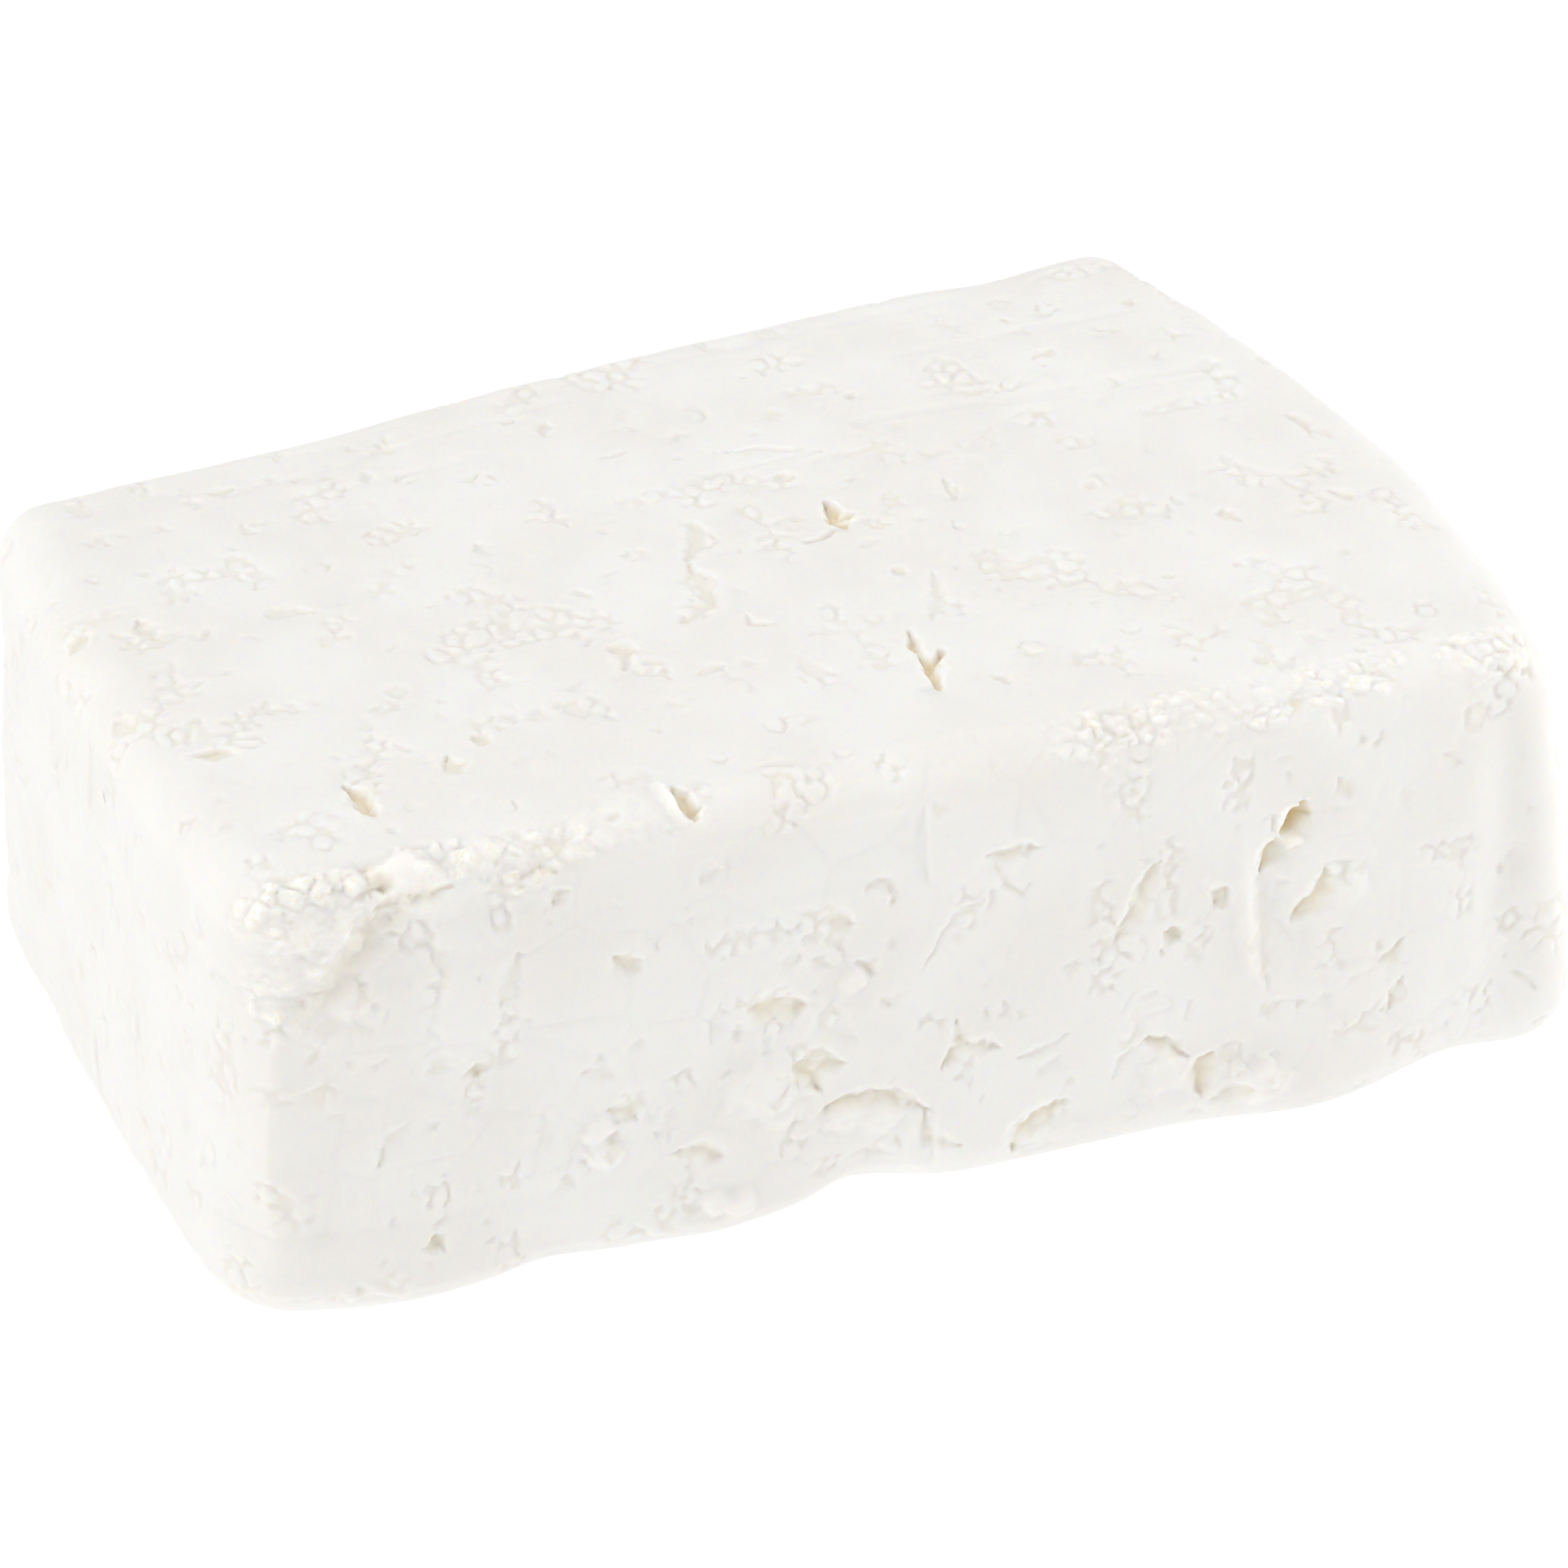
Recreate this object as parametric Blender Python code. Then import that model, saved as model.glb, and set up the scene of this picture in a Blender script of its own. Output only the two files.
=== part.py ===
"""A block of fresh white cheese in the brined style, cut from a pressed slab.

It lies on its largest face with the long side along X. +Z is up, and the origin is the middle of
the face that it rests on. The shape is worked out in millimetres and written to the mesh in metres.

The block starts as a squared one with rounded edges. Its corners have then settled, its ends have
swollen and its foot has chipped, and the curd has torn open on every side but the one it lies on.
"""
import bmesh
import bpy
import numpy as np

MM = 0.001

# Driving dimensions of the squared block, before its corners settle
LENGTH, DEPTH, HEIGHT = 91.1, 60.1, 33.8
HALF = np.array([LENGTH, DEPTH, HEIGHT]) / 2

# Radii of the rounded edges: round the top, round the foot, and the four upright ones by their
# side (-1 left, 1 right) and (-1 front, 1 back)
RIM_RADIUS, FOOT_RADIUS = 3.7, 4.7
UPRIGHT_RADIUS = {(-1, -1): 9.5, (1, -1): 3.0, (-1, 1): 7.7, (1, 1): 6.5}
# An upright edge's radius holds up to the first of these parts of half the height, and the rim's
# or the foot's radius from the second
RADIUS_CHANGE = (0.55, 0.85)

# How far each corner lies from the squared block's own corner, at the top and at the foot
TOP_CORNER = {(-1, -1): (-0.7, 1.4, 0.3), (1, -1): (-1.1, -1.4, -0.5),
              (-1, 1): (2.1, -1.8, -0.3), (1, 1): (-2.4, 3.4, 0.6)}
FOOT_CORNER = {(-1, -1): (-0.9, 2.3, 0.0), (1, -1): (2.1, -1.8, 0.0),
               (-1, 1): (0.0, -1.8, 0.0), (1, 1): (0.0, 0.1, 0.0)}
# How far the middle of each side stands out past its edges
RIGHT_BULGE, LEFT_BULGE, FRONT_BULGE, BACK_BULGE, CROWN = 4.1, 1.4, 0.25, 1.0, 0.45

# A place on the block is a face and two coordinates from the middle of the squared face. For each
# face: the axes of the first and the second coordinate, the axis across it, and its side of that
TOP, FRONT, LEFT, RIGHT, BACK = "top", "front", "left", "right", "back"
PLANE = {TOP: (0, 1, 2, 1), FRONT: (0, 2, 1, -1), BACK: (0, 2, 1, 1),
         LEFT: (1, 2, 0, -1), RIGHT: (1, 2, 0, 1)}

# Broad swellings and chips: what it is, face, place, reach, and how far the middle of it is moved
SWELLINGS = (
    ("foot lifted under the long tear", FRONT, (-4.0, -16.9), 4.0, (0.0, 1.9, 0.4)),
    ("foot chipped near the right corner", FRONT, (38.5, -15.5), 5.0, (0.0, 1.2, 0.3)),
    ("right foot corner pressed out", FRONT, (45.5, -12.0), 4.0, (0.8, -0.2, -0.2)),
    ("foot swollen right of the middle", FRONT, (26.5, -16.5), 6.0, (0.0, -1.5, 0.0)),
    ("foot swollen on the left", FRONT, (-34.0, -16.9), 5.0, (0.0, -0.7, 0.0)),
    ("foot dented left of the middle", FRONT, (-25.0, -16.5), 3.0, (0.0, 0.9, 0.0)),
    ("lump on the foot", FRONT, (-14.5, -16.9), 3.0, (0.0, -0.5, 0.0)),
    ("left foot corner pressed out", LEFT, (-18.5, -14.0), 5.0, (-0.5, 0.0, 0.0)),
    ("front left foot corner worn", FRONT, (-44.0, -15.0), 4.0, (0.2, 1.0, 0.2)),
    ("left foot dented", LEFT, (14.0, -15.0), 4.0, (0.3, 0.0, 0.0)),
    ("far edge sagging", TOP, (-22.0, 29.0), 9.0, (0.0, -0.35, -0.25)),
    ("far edge worn at the right", TOP, (34.0, 29.0), 4.0, (0.0, 0.0, -0.45)),
    ("rim of the right end", FRONT, (45.5, 2.0), 9.0, (0.8, 0.0, 0.0)),
    ("left back upright pressed out", LEFT, (25.0, 2.0), 8.0, (-0.4, 0.0, 0.0)),
    ("right end, middle", TOP, (45.5, -4.0), 7.0, (0.45, 0.0, 0.0)),
    ("right end, front", TOP, (45.5, -25.0), 5.0, (-0.3, 0.1, -0.1)),
)

# Openings between the curds: what it is, face, the line it follows, half width and depth
TEARS = (
    ("star hole", TOP, ((8.5, 2.2), (7.5, -0.3)), 0.9, 1.9),
    ("forked hole", TOP, ((6.2, -15.1), (6.0, -17.6), (4.7, -20.8)), 0.8, 2.2),
    ("shallow chain", TOP, ((-1.3, 5.2), (-1.5, 2.4), (-4.0, -0.1), (-3.8, -3.3), (-7.8, -7.8)), 1.0, 0.6),
    ("tee pit", TOP, ((-12.5, -8.6), (-11.3, -9.8), (-13.0, -11.8)), 0.9, 0.6),
    ("wide shallow pit", TOP, ((13.5, -9.3), (16.5, -9.3)), 0.9, 0.5),
    ("round pit at the left", TOP, ((-40.0, -10.1), (-40.5, -11.8)), 1.2, 0.8),
    ("ragged slot", TOP, ((-34.0, -18.3), (-33.8, -22.8)), 0.8, 1.1),
    ("recess behind the flake", TOP, ((-15.0, -26.8), (-14.8, -29.6)), 0.9, 1.3),
    ("notch beside the chunk", TOP, ((-35.5, -28.1), (-35.3, -30.0)), 0.8, 1.2),
    ("undercut of the ridge", FRONT, ((-34.8, 14.9), (-37.0, 13.1), (-38.5, 10.6), (-42.8, 7.4)), 1.4, 1.5),
    ("ridge notch", FRONT, ((-27.5, 15.4), (-24.5, 15.1)), 0.8, 0.8),
    ("long slit", FRONT, ((-27.3, 9.9), (-28.8, 5.9)), 0.7, 0.7),
    ("pit with a corner", FRONT, ((-21.3, 7.9), (-19.3, 7.1)), 0.9, 0.9),
    ("drop pit", FRONT, ((-30.5, 1.9), (-30.3, 0.9)), 0.9, 1.1),
    ("hollow", FRONT, ((-21.8, -3.6), (-20.5, -4.1), (-20.0, -4.9)), 1.1, 0.9),
    ("dark arc", FRONT, ((-17.8, -8.4), (-16.0, -8.1), (-14.3, -9.4)), 0.8, 0.9),
    ("crescent", FRONT, ((-4.3, 9.1), (-3.0, 9.1), (-2.3, 7.4)), 0.7, 0.7),
    ("wide slot", FRONT, ((-12.3, 1.9), (-8.5, 0.9)), 1.0, 1.1),
    ("deep triangle", FRONT, ((-9.5, -3.4), (-8.5, -4.1), (-8.3, -5.1)), 1.1, 2.0),
    ("long tear", FRONT, ((-7.5, -7.1), (-3.3, -7.4), (-0.5, -8.9), (2.0, -12.4)), 0.8, 1.3),
    ("upper fork", FRONT, ((4.0, 9.6), (8.2, 9.4)), 0.7, 1.1),
    ("lower fork", FRONT, ((1.7, -2.6), (2.2, -4.6), (4.7, -5.4)), 0.7, 1.0),
    ("slant gash", FRONT, ((16.0, 5.9), (13.0, 1.4)), 0.9, 1.1),
    ("square hole", FRONT, ((16.5, 0.6), (18.0, -0.1)), 0.9, 1.4),
    ("darkest hole", FRONT, ((26.5, 7.6), (25.0, 6.1), (23.7, 4.6)), 1.0, 2.2),
    ("lens hole", FRONT, ((27.5, 2.6), (27.2, 0.9), (26.0, -0.9)), 0.9, 1.8),
    ("rough strokes", FRONT, ((33.5, -3.9), (31.0, -5.4)), 0.8, 0.9),
    ("crescent near the foot", FRONT, ((14.7, -7.4), (17.7, -9.1)), 0.8, 1.1),
    ("crack to the foot", FRONT, ((19.7, -9.4), (18.5, -12.6)), 0.8, 1.2),
    ("ledge near the foot", FRONT, ((9.7, -10.9), (6.0, -12.4), (5.5, -14.4)), 0.8, 1.1),
    ("groove inside the right rim", FRONT, ((42.3, 12.0), (42.6, -4.0)), 2.0, 0.5),
)

# Small openings on the faces where no tear is placed by name: how many on each face, and the
# least and greatest length, half width and depth of one
SMALL_PITS = {TOP: 44, FRONT: 16, LEFT: 13, RIGHT: 18, BACK: 30}
PIT_LENGTH, PIT_WIDTH, PIT_DEPTH = (0.6, 3.0), (0.5, 0.9), (0.4, 0.9)
# Longer tears on the two sides that have no named ones
LONG_TEARS = {RIGHT: 4, BACK: 8}
TEAR_LENGTH, TEAR_WIDTH, TEAR_DEPTH = (3.0, 6.5), (0.7, 1.0), (0.9, 1.7)
# How much less an opening runs up a face than along it, and how far its middle bends off it
SLANT_RISE, LINE_BEND = 0.6, 0.4
# No small opening has its middle closer than this to the edge of its squared face
EDGE_MARGIN = 3.0
# An opening is at its full depth up to the first of these parts of its half width from its line,
# and the skin starts at the second
OPENING_FLOOR, OPENING_EDGE = 0.45, 1.5

# Crumbs of curd pressed along the rim of the front: the two stretches, their spacing, radius and height
CRUMB_STRETCHES = ((-43.0, -22.0), (15.0, 44.0))
CRUMB_SPACING, CRUMB_RADIUS, CRUMB_HEIGHT = 1.9, (0.9, 1.6), (0.3, 0.8)
# How far a crumb lies from its turn along the rim, and how far back from the front it may lie
CRUMB_SHIFT, CRUMB_BACK = 0.6, (-0.2, 1.6)
# A crumb is at its full height up to the first of these parts of its radius, and ends at the second
CRUMB_ROUND = (0.2, 1.3)

# Waves of the skin: size of a wave and its height
WAVES = ((14.0, 0.28), (6.0, 0.16), (3.0, 0.08))
# An opening's edge wanders by this much over this distance
EDGE_WANDER, WANDER_SIZE = 0.45, 1.7
# Nodes along each side of the lattice of random values that the waves are blended from
LATTICE = 64
# What every random draw starts from: places, waves, and the wandering of the edges
PLACE_SEED, WAVE_SEED, WANDER_SEED = 7, 11, 21
# The relief fades in over this stretch of the way out's rise, which is -1 on the face it lies on
FOOT_FADE = (-0.85, -0.4)

# Spacing of the grid that the shape is worked out on, and how many triangles are left of it
GRID = 0.75
TRIANGLES = 10000
CHEESE_WHITE = (0.888, 0.863, 0.791, 1.0)


def clear_scene():
    """Removes whatever objects the open file holds."""
    for old in list(bpy.data.objects):
        bpy.data.objects.remove(old, do_unlink=True)


def smooth_step(value, low, high):
    """Rises from 0 at low to 1 at high, level at both ends."""
    part = np.clip((value - low) / (high - low), 0.0, 1.0)
    return part * part * (3.0 - 2.0 * part)


def wave_field(points, size, seed):
    """Smooth random waves between -1 and 1: a lattice of random values, blended between its nodes."""
    lattice = np.random.default_rng(seed).uniform(-1.0, 1.0, (LATTICE, LATTICE, LATTICE))
    place = points / size
    node = np.floor(place).astype(int)
    part = place - node
    part = part * part * (3.0 - 2.0 * part)
    total = np.zeros(len(points))
    for corner in np.ndindex(2, 2, 2):
        weight = np.where(corner, part, 1.0 - part).prod(axis=1)
        at = (node + corner) % LATTICE
        total += weight * lattice[at[:, 0], at[:, 1], at[:, 2]]
    return total


def rounded(cube):
    """Takes points on a cube of side 2 to the squared block with rounded edges, with the way out.

    A point of the squared block is pulled back to the core that lies one radius inside it, and
    stands off that core by the radius.
    """
    square = cube * HALF
    upright = np.zeros(len(cube))
    for (side, front), radius in UPRIGHT_RADIUS.items():
        here = (np.where(cube[:, 0] > 0, 1, -1) == side) & (np.where(cube[:, 1] > 0, 1, -1) == front)
        upright[here] = radius
    level = np.where(cube[:, 2] > 0, RIM_RADIUS, FOOT_RADIUS)
    start, end = RADIUS_CHANGE
    change = np.clip((np.abs(cube[:, 2]) - start) / (end - start), 0.0, 1.0)
    radius = (upright * (1.0 - change) + level * change)[:, None]
    core = np.clip(square, radius - HALF, HALF - radius)
    out = square - core
    out /= np.linalg.norm(out, axis=1)[:, None]
    return core + radius * out, out


def settled(points):
    """Shifts the corners, blended over the block, and bulges the sides by parabolas."""
    a, b, c = (points / HALF).T
    moved = points.copy()
    for (side, front), top in TOP_CORNER.items():
        near = (1.0 + side * a) / 2.0 * (1.0 + front * b) / 2.0
        high = (1.0 + c) / 2.0
        moved += near[:, None] * (high[:, None] * top + (1.0 - high)[:, None] * FOOT_CORNER[(side, front)])
    moved[:, 0] += np.clip(a, 0.0, 1.0) ** 2 * (1.0 - b * b) * RIGHT_BULGE
    moved[:, 0] -= np.clip(-a, 0.0, 1.0) ** 2 * (1.0 - b * b) * LEFT_BULGE
    moved[:, 1] -= np.clip(-b, 0.0, 1.0) ** 2 * (1.0 - a * a) * FRONT_BULGE
    moved[:, 1] += np.clip(b, 0.0, 1.0) ** 2 * (1.0 - a * a) * BACK_BULGE
    moved[:, 2] += (1.0 + c) / 2.0 * (1.0 - a * a) * (1.0 - b * b) * CROWN
    moved[:, 2] += HALF[2]
    return moved


def on_face(face, places):
    """Points of the cube of side 2 for places in millimetres on a squared face."""
    first, second, across, side = PLANE[face]
    cube = np.zeros((len(places), 3))
    cube[:, first] = np.array(places)[:, 0] / HALF[first]
    cube[:, second] = np.array(places)[:, 1] / HALF[second]
    cube[:, across] = side
    return cube


def plain_form(cube):
    """The settled block with its swellings, without waves or openings, and the way out at each point."""
    square, out = rounded(cube)
    points = settled(square)
    moved = points.copy()
    for _, face, place, reach, push in SWELLINGS:
        middle = settled(rounded(on_face(face, (place,)))[0])[0]
        near = np.exp(-((points - middle) ** 2).sum(axis=1) / reach ** 2)
        moved += near[:, None] * push
    moved[:, 2] = np.maximum(moved[:, 2], 0.0)
    return moved, out


def line_distance(points, line):
    """Distance from each point to the nearest stretch of a line of two or more points."""
    nearest = np.full(len(points), np.inf)
    for start, end in zip(line[:-1], line[1:]):
        run = end - start
        part = np.clip((points - start) @ run / (run @ run), 0.0, 1.0)
        nearest = np.minimum(nearest, np.linalg.norm(points - start - part[:, None] * run, axis=1))
    return nearest


def opening(points, face, places, width, depth):
    """Depth of an opening along a line on a face: full near the line, and nothing at the skin."""
    line = plain_form(on_face(face, places))[0]
    away = line_distance(points, line)
    return depth * (1.0 - smooth_step(away, OPENING_FLOOR * width, OPENING_EDGE * width))


def random_openings(counts, lengths, widths, depths, random):
    """Openings drawn at random on the faces: short lines at any slant, a few of them on each face."""
    for face, count in counts.items():
        first, second = PLANE[face][:2]
        room = np.array([HALF[first], HALF[second]]) - EDGE_MARGIN
        for _ in range(count):
            middle = random.uniform(-room, room)
            slant = random.uniform(0.0, np.pi)
            half_line = random.uniform(*lengths) / 2 * np.array([np.cos(slant), SLANT_RISE * np.sin(slant)])
            bend = random.uniform(-LINE_BEND, LINE_BEND, 2) * np.abs(half_line).max()
            line = (middle - half_line, middle + bend, middle + half_line)
            yield face, line, random.uniform(*widths), random.uniform(*depths)


def crumbs(points, random):
    """Height of the crumbs of curd along the front rim: round lumps at a jittered spacing."""
    height = np.zeros(len(points))
    for start, end in CRUMB_STRETCHES:
        for along in np.arange(start, end, CRUMB_SPACING):
            across = random.uniform(*CRUMB_BACK) - HALF[1]
            place = (along + random.uniform(-CRUMB_SHIFT, CRUMB_SHIFT), across)
            middle = plain_form(on_face(TOP, (place,)))[0][0]
            away = np.linalg.norm(points - middle, axis=1) / random.uniform(*CRUMB_RADIUS)
            crumb = random.uniform(*CRUMB_HEIGHT) * (1.0 - smooth_step(away, *CRUMB_ROUND))
            height = np.maximum(height, crumb)
    return height


def cheese_points(cube):
    """The finished skin for points of the cube: the plain form, moved in and out along the way out."""
    random = np.random.default_rng(PLACE_SEED)
    plain, out = plain_form(cube)
    relief = sum(height * wave_field(plain, size, WAVE_SEED + i) for i, (size, height) in enumerate(WAVES))
    wander = np.stack([wave_field(plain, WANDER_SIZE, WANDER_SEED + axis) for axis in range(3)], axis=1)
    wandered = plain + EDGE_WANDER * wander
    openings = [tear[1:] for tear in TEARS]
    openings += random_openings(SMALL_PITS, PIT_LENGTH, PIT_WIDTH, PIT_DEPTH, random)
    openings += random_openings(LONG_TEARS, TEAR_LENGTH, TEAR_WIDTH, TEAR_DEPTH, random)
    deepest = np.zeros(len(plain))
    for face, places, width, depth in openings:
        deepest = np.maximum(deepest, opening(wandered, face, places, width, depth))
    relief = relief + crumbs(wandered, random) - deepest
    # The face that it lies on stays flat, and the relief fades in up the round of the foot
    relief *= smooth_step(out[:, 2], *FOOT_FADE)
    points = plain + relief[:, None] * out
    points[:, 2] = np.maximum(points[:, 2], 0.0)
    return points


def gridded_cube(side_lengths):
    """A cube of side 2 whose faces are cut into a grid, with cells about GRID wide on the block."""
    grid = bmesh.new()
    bmesh.ops.create_cube(grid, size=2.0)
    for axis, length in enumerate(side_lengths):
        across = [edge for edge in grid.edges
                  if abs(edge.verts[0].co[axis] - edge.verts[1].co[axis]) > 1.0]
        bmesh.ops.subdivide_edges(grid, edges=across, cuts=round(length / GRID) - 1, use_grid_fill=True)
    return grid


def cheese_mesh():
    """The gridded cube's mesh with every point taken to the finished skin, in metres."""
    grid = gridded_cube((LENGTH, DEPTH, HEIGHT))
    mesh = bpy.data.meshes.new("cheese_block")
    grid.to_mesh(mesh)
    grid.free()
    cube = np.empty(len(mesh.vertices) * 3, dtype=np.float32)
    mesh.vertices.foreach_get("co", cube)
    points = cheese_points(cube.reshape(-1, 3).astype(float))
    # The middle of the block's box stands over the origin
    points[:, :2] -= (points[:, :2].min(axis=0) + points[:, :2].max(axis=0)) / 2.0
    mesh.vertices.foreach_set("co", (points * MM).astype(np.float32).ravel())
    mesh.update()
    return mesh


def cheese_material():
    """Moist white curd: pale cream, dull, and a little translucent."""
    material = bpy.data.materials.new("fresh_cheese_curd")
    material.use_nodes = True
    shader = material.node_tree.nodes["Principled BSDF"]
    shader.inputs["Base Color"].default_value = CHEESE_WHITE
    shader.inputs["Roughness"].default_value = 0.6
    shader.inputs["Metallic"].default_value = 0.0
    shader.inputs["Subsurface Weight"].default_value = 0.3
    shader.inputs["Subsurface Scale"].default_value = 2.0 * MM
    return material


def build():
    """Makes the block, thins its grid where the skin is smooth, and puts it in its collection."""
    clear_scene()
    mesh = cheese_mesh()
    mesh.materials.append(cheese_material())
    block = bpy.data.objects.new("cheese_block", mesh)
    collection = bpy.data.collections.new("fresh_cheese")
    bpy.context.scene.collection.children.link(collection)
    collection.objects.link(block)
    thinned = block.modifiers.new("thinned where smooth", "DECIMATE")
    thinned.decimate_type = "COLLAPSE"
    thinned.use_collapse_triangulate = True
    thinned.ratio = TRIANGLES / (2 * len(mesh.polygons))


build()
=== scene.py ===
"""The looks of a block of fresh white cheese: its torn curd, its crumbs, and the studio round it."""

import bpy
import numpy as np
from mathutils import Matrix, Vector


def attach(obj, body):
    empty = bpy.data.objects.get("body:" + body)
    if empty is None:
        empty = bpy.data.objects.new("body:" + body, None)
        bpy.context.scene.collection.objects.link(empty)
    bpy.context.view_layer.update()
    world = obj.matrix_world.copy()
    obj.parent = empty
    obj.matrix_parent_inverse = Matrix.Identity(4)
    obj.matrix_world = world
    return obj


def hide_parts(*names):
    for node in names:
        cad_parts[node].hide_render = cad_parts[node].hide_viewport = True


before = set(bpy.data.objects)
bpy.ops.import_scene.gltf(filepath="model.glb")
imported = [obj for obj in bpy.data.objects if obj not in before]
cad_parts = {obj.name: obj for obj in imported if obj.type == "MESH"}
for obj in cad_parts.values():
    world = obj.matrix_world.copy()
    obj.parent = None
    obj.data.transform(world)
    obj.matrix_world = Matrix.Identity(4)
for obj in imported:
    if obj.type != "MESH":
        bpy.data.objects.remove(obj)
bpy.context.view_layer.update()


# The block of cheese. Fresh curd of milk was pressed into a slab, cut up and kept in brine, so it is
# one moist white piece. Its curds show where the skin has torn open between them, and the rim of its
# front has crumbled. Everything here is worked out in millimetres.

MM = 0.001

# The squared block before its corners settled, and the radii of its rounded edges: round the top,
# round the foot, and the four upright ones by side (-1 left, 1 right) and (-1 front, 1 back). Going up
# or down the block, the radius changes from the upright edges' to that of the rim or the foot between
# these parts of half the height
LENGTH, DEPTH, HEIGHT = 91.1, 60.1, 33.8
HALF = np.array([LENGTH, DEPTH, HEIGHT]) / 2
RIM_RADIUS, FOOT_RADIUS = 3.7, 4.7
UPRIGHT_RADIUS = {(-1, -1): 9.5, (1, -1): 3.0, (-1, 1): 7.7, (1, 1): 6.5}
RADIUS_CHANGE = (0.55, 0.85)

# How far each corner has settled from the squared block's own, at the top and at the foot, and how
# far the middle of each side stands out past its edges
TOP_CORNER = {(-1, -1): (-0.7, 1.4, 0.3), (1, -1): (-1.1, -1.4, -0.5),
              (-1, 1): (2.1, -1.8, -0.3), (1, 1): (-2.4, 3.4, 0.6)}
FOOT_CORNER = {(-1, -1): (-0.9, 2.3, 0.0), (1, -1): (2.1, -1.8, 0.0),
               (-1, 1): (0.0, -1.8, 0.0), (1, 1): (0.0, 0.1, 0.0)}
RIGHT_BULGE, LEFT_BULGE, FRONT_BULGE, BACK_BULGE, CROWN = 4.1, 1.4, 0.25, 1.0, 0.45

# A place on the block is a face and two coordinates from the middle of the squared face. For each
# face: the axes of the first and the second coordinate, the axis across it, and its side of that
TOP, FRONT, LEFT, RIGHT, BACK = "top", "front", "left", "right", "back"
PLANE = {TOP: (0, 1, 2, 1), FRONT: (0, 2, 1, -1), BACK: (0, 2, 1, 1),
         LEFT: (1, 2, 0, -1), RIGHT: (1, 2, 0, 1)}

# Broad swellings and chips: what it is, face, place, reach, and how far the middle of it is moved
SWELLINGS = (
    ("foot lifted under the long tear", FRONT, (-4.0, -16.9), 4.0, (0.0, 1.9, 0.4)),
    ("foot chipped near the right corner", FRONT, (38.5, -15.5), 5.0, (0.0, 1.2, 0.3)),
    ("right foot corner pressed out", FRONT, (45.5, -12.0), 4.0, (0.8, -0.2, -0.2)),
    ("foot swollen right of the middle", FRONT, (26.5, -16.5), 6.0, (0.0, -1.5, 0.0)),
    ("foot swollen on the left", FRONT, (-34.0, -16.9), 5.0, (0.0, -0.7, 0.0)),
    ("foot dented left of the middle", FRONT, (-25.0, -16.5), 3.0, (0.0, 0.9, 0.0)),
    ("lump on the foot", FRONT, (-14.5, -16.9), 3.0, (0.0, -0.5, 0.0)),
    ("left foot corner pressed out", LEFT, (-18.5, -14.0), 5.0, (-0.5, 0.0, 0.0)),
    ("front left foot corner worn", FRONT, (-44.0, -15.0), 4.0, (0.2, 1.0, 0.2)),
    ("left foot dented", LEFT, (14.0, -15.0), 4.0, (0.3, 0.0, 0.0)),
    ("far edge sagging", TOP, (-22.0, 29.0), 9.0, (0.0, -0.35, -0.25)),
    ("far edge worn at the right", TOP, (34.0, 29.0), 4.0, (0.0, 0.0, -0.45)),
    ("rim of the right end", FRONT, (45.5, 2.0), 9.0, (0.8, 0.0, 0.0)),
    ("left back upright pressed out", LEFT, (25.0, 2.0), 8.0, (-0.4, 0.0, 0.0)),
    ("right end, middle", TOP, (45.5, -4.0), 7.0, (0.45, 0.0, 0.0)),
    ("right end, front", TOP, (45.5, -25.0), 5.0, (-0.3, 0.1, -0.1)),
)

# Lumps of curd that stand out: what it is, face, place, radius and height. They are rounded cubes on
# slanting axes, the higher the power the squarer
LUMP_AXES, LUMP_POWER = np.array([(0.8, -0.36, 0.48), (0.6, 0.48, -0.64), (0.0, 0.8, 0.6)]), 5.0
LUMPS = (
    ("white chunk on the rim", TOP, (-34.2, -29.2), 1.5, 0.8),
    ("white chunk, right half", FRONT, (-32.7, 16.7), 0.9, 0.45),
    ("mound of the ridge", FRONT, (-41.0, 13.6), 1.0, 0.35),
    ("mound behind it", TOP, (-39.7, -28.4), 1.3, 0.3),
    ("mound beside the notch", TOP, (-37.4, -28.9), 1.1, 0.45),
    ("crumb over the valley", FRONT, (-39.3, 13.3), 0.8, 0.45),
    ("second crumb over the valley", FRONT, (-37.8, 12.6), 0.8, 0.45),
    ("flake on the rim", TOP, (-29.0, -29.2), 1.1, 0.5),
    ("oval curd", FRONT, (-38.3, 8.4), 1.2, 0.3),
    ("mound left of the flake", TOP, (-18.6, -27.9), 1.9, 0.25),
    ("curd over the wide slot", FRONT, (-5.3, 2.1), 0.9, 0.35),
    ("curd left of the deep triangle", FRONT, (-12.0, -4.2), 2.0, 0.6),
    ("curd below it", FRONT, (-10.6, -6.4), 1.3, 0.4),
    ("curd on the left rim of the hollow", FRONT, (-22.5, -5.1), 0.9, 0.4),
    ("its lower end", FRONT, (-22.2, -7.3), 1.0, 0.4),
    ("curd by the foot", FRONT, (-15.0, -12.9), 0.9, 0.5),
    ("its neighbour", FRONT, (-13.4, -13.2), 1.1, 0.6),
    ("lip of the long tear", FRONT, (-6.0, -8.3), 1.2, 0.4),
    ("lip of the long tear, middle", FRONT, (-3.6, -9.2), 1.2, 0.4),
    ("curd right of the foot crack", FRONT, (22.4, -12.0), 1.7, 0.6),
    ("curd between the foot cracks", FRONT, (16.0, -10.2), 1.7, 0.4),
    ("curd right of the lens hole", FRONT, (29.6, 1.4), 1.2, 0.25),
    ("stub in the darkest hole", FRONT, (25.9, 5.6), 0.5, 0.5),
)

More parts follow.
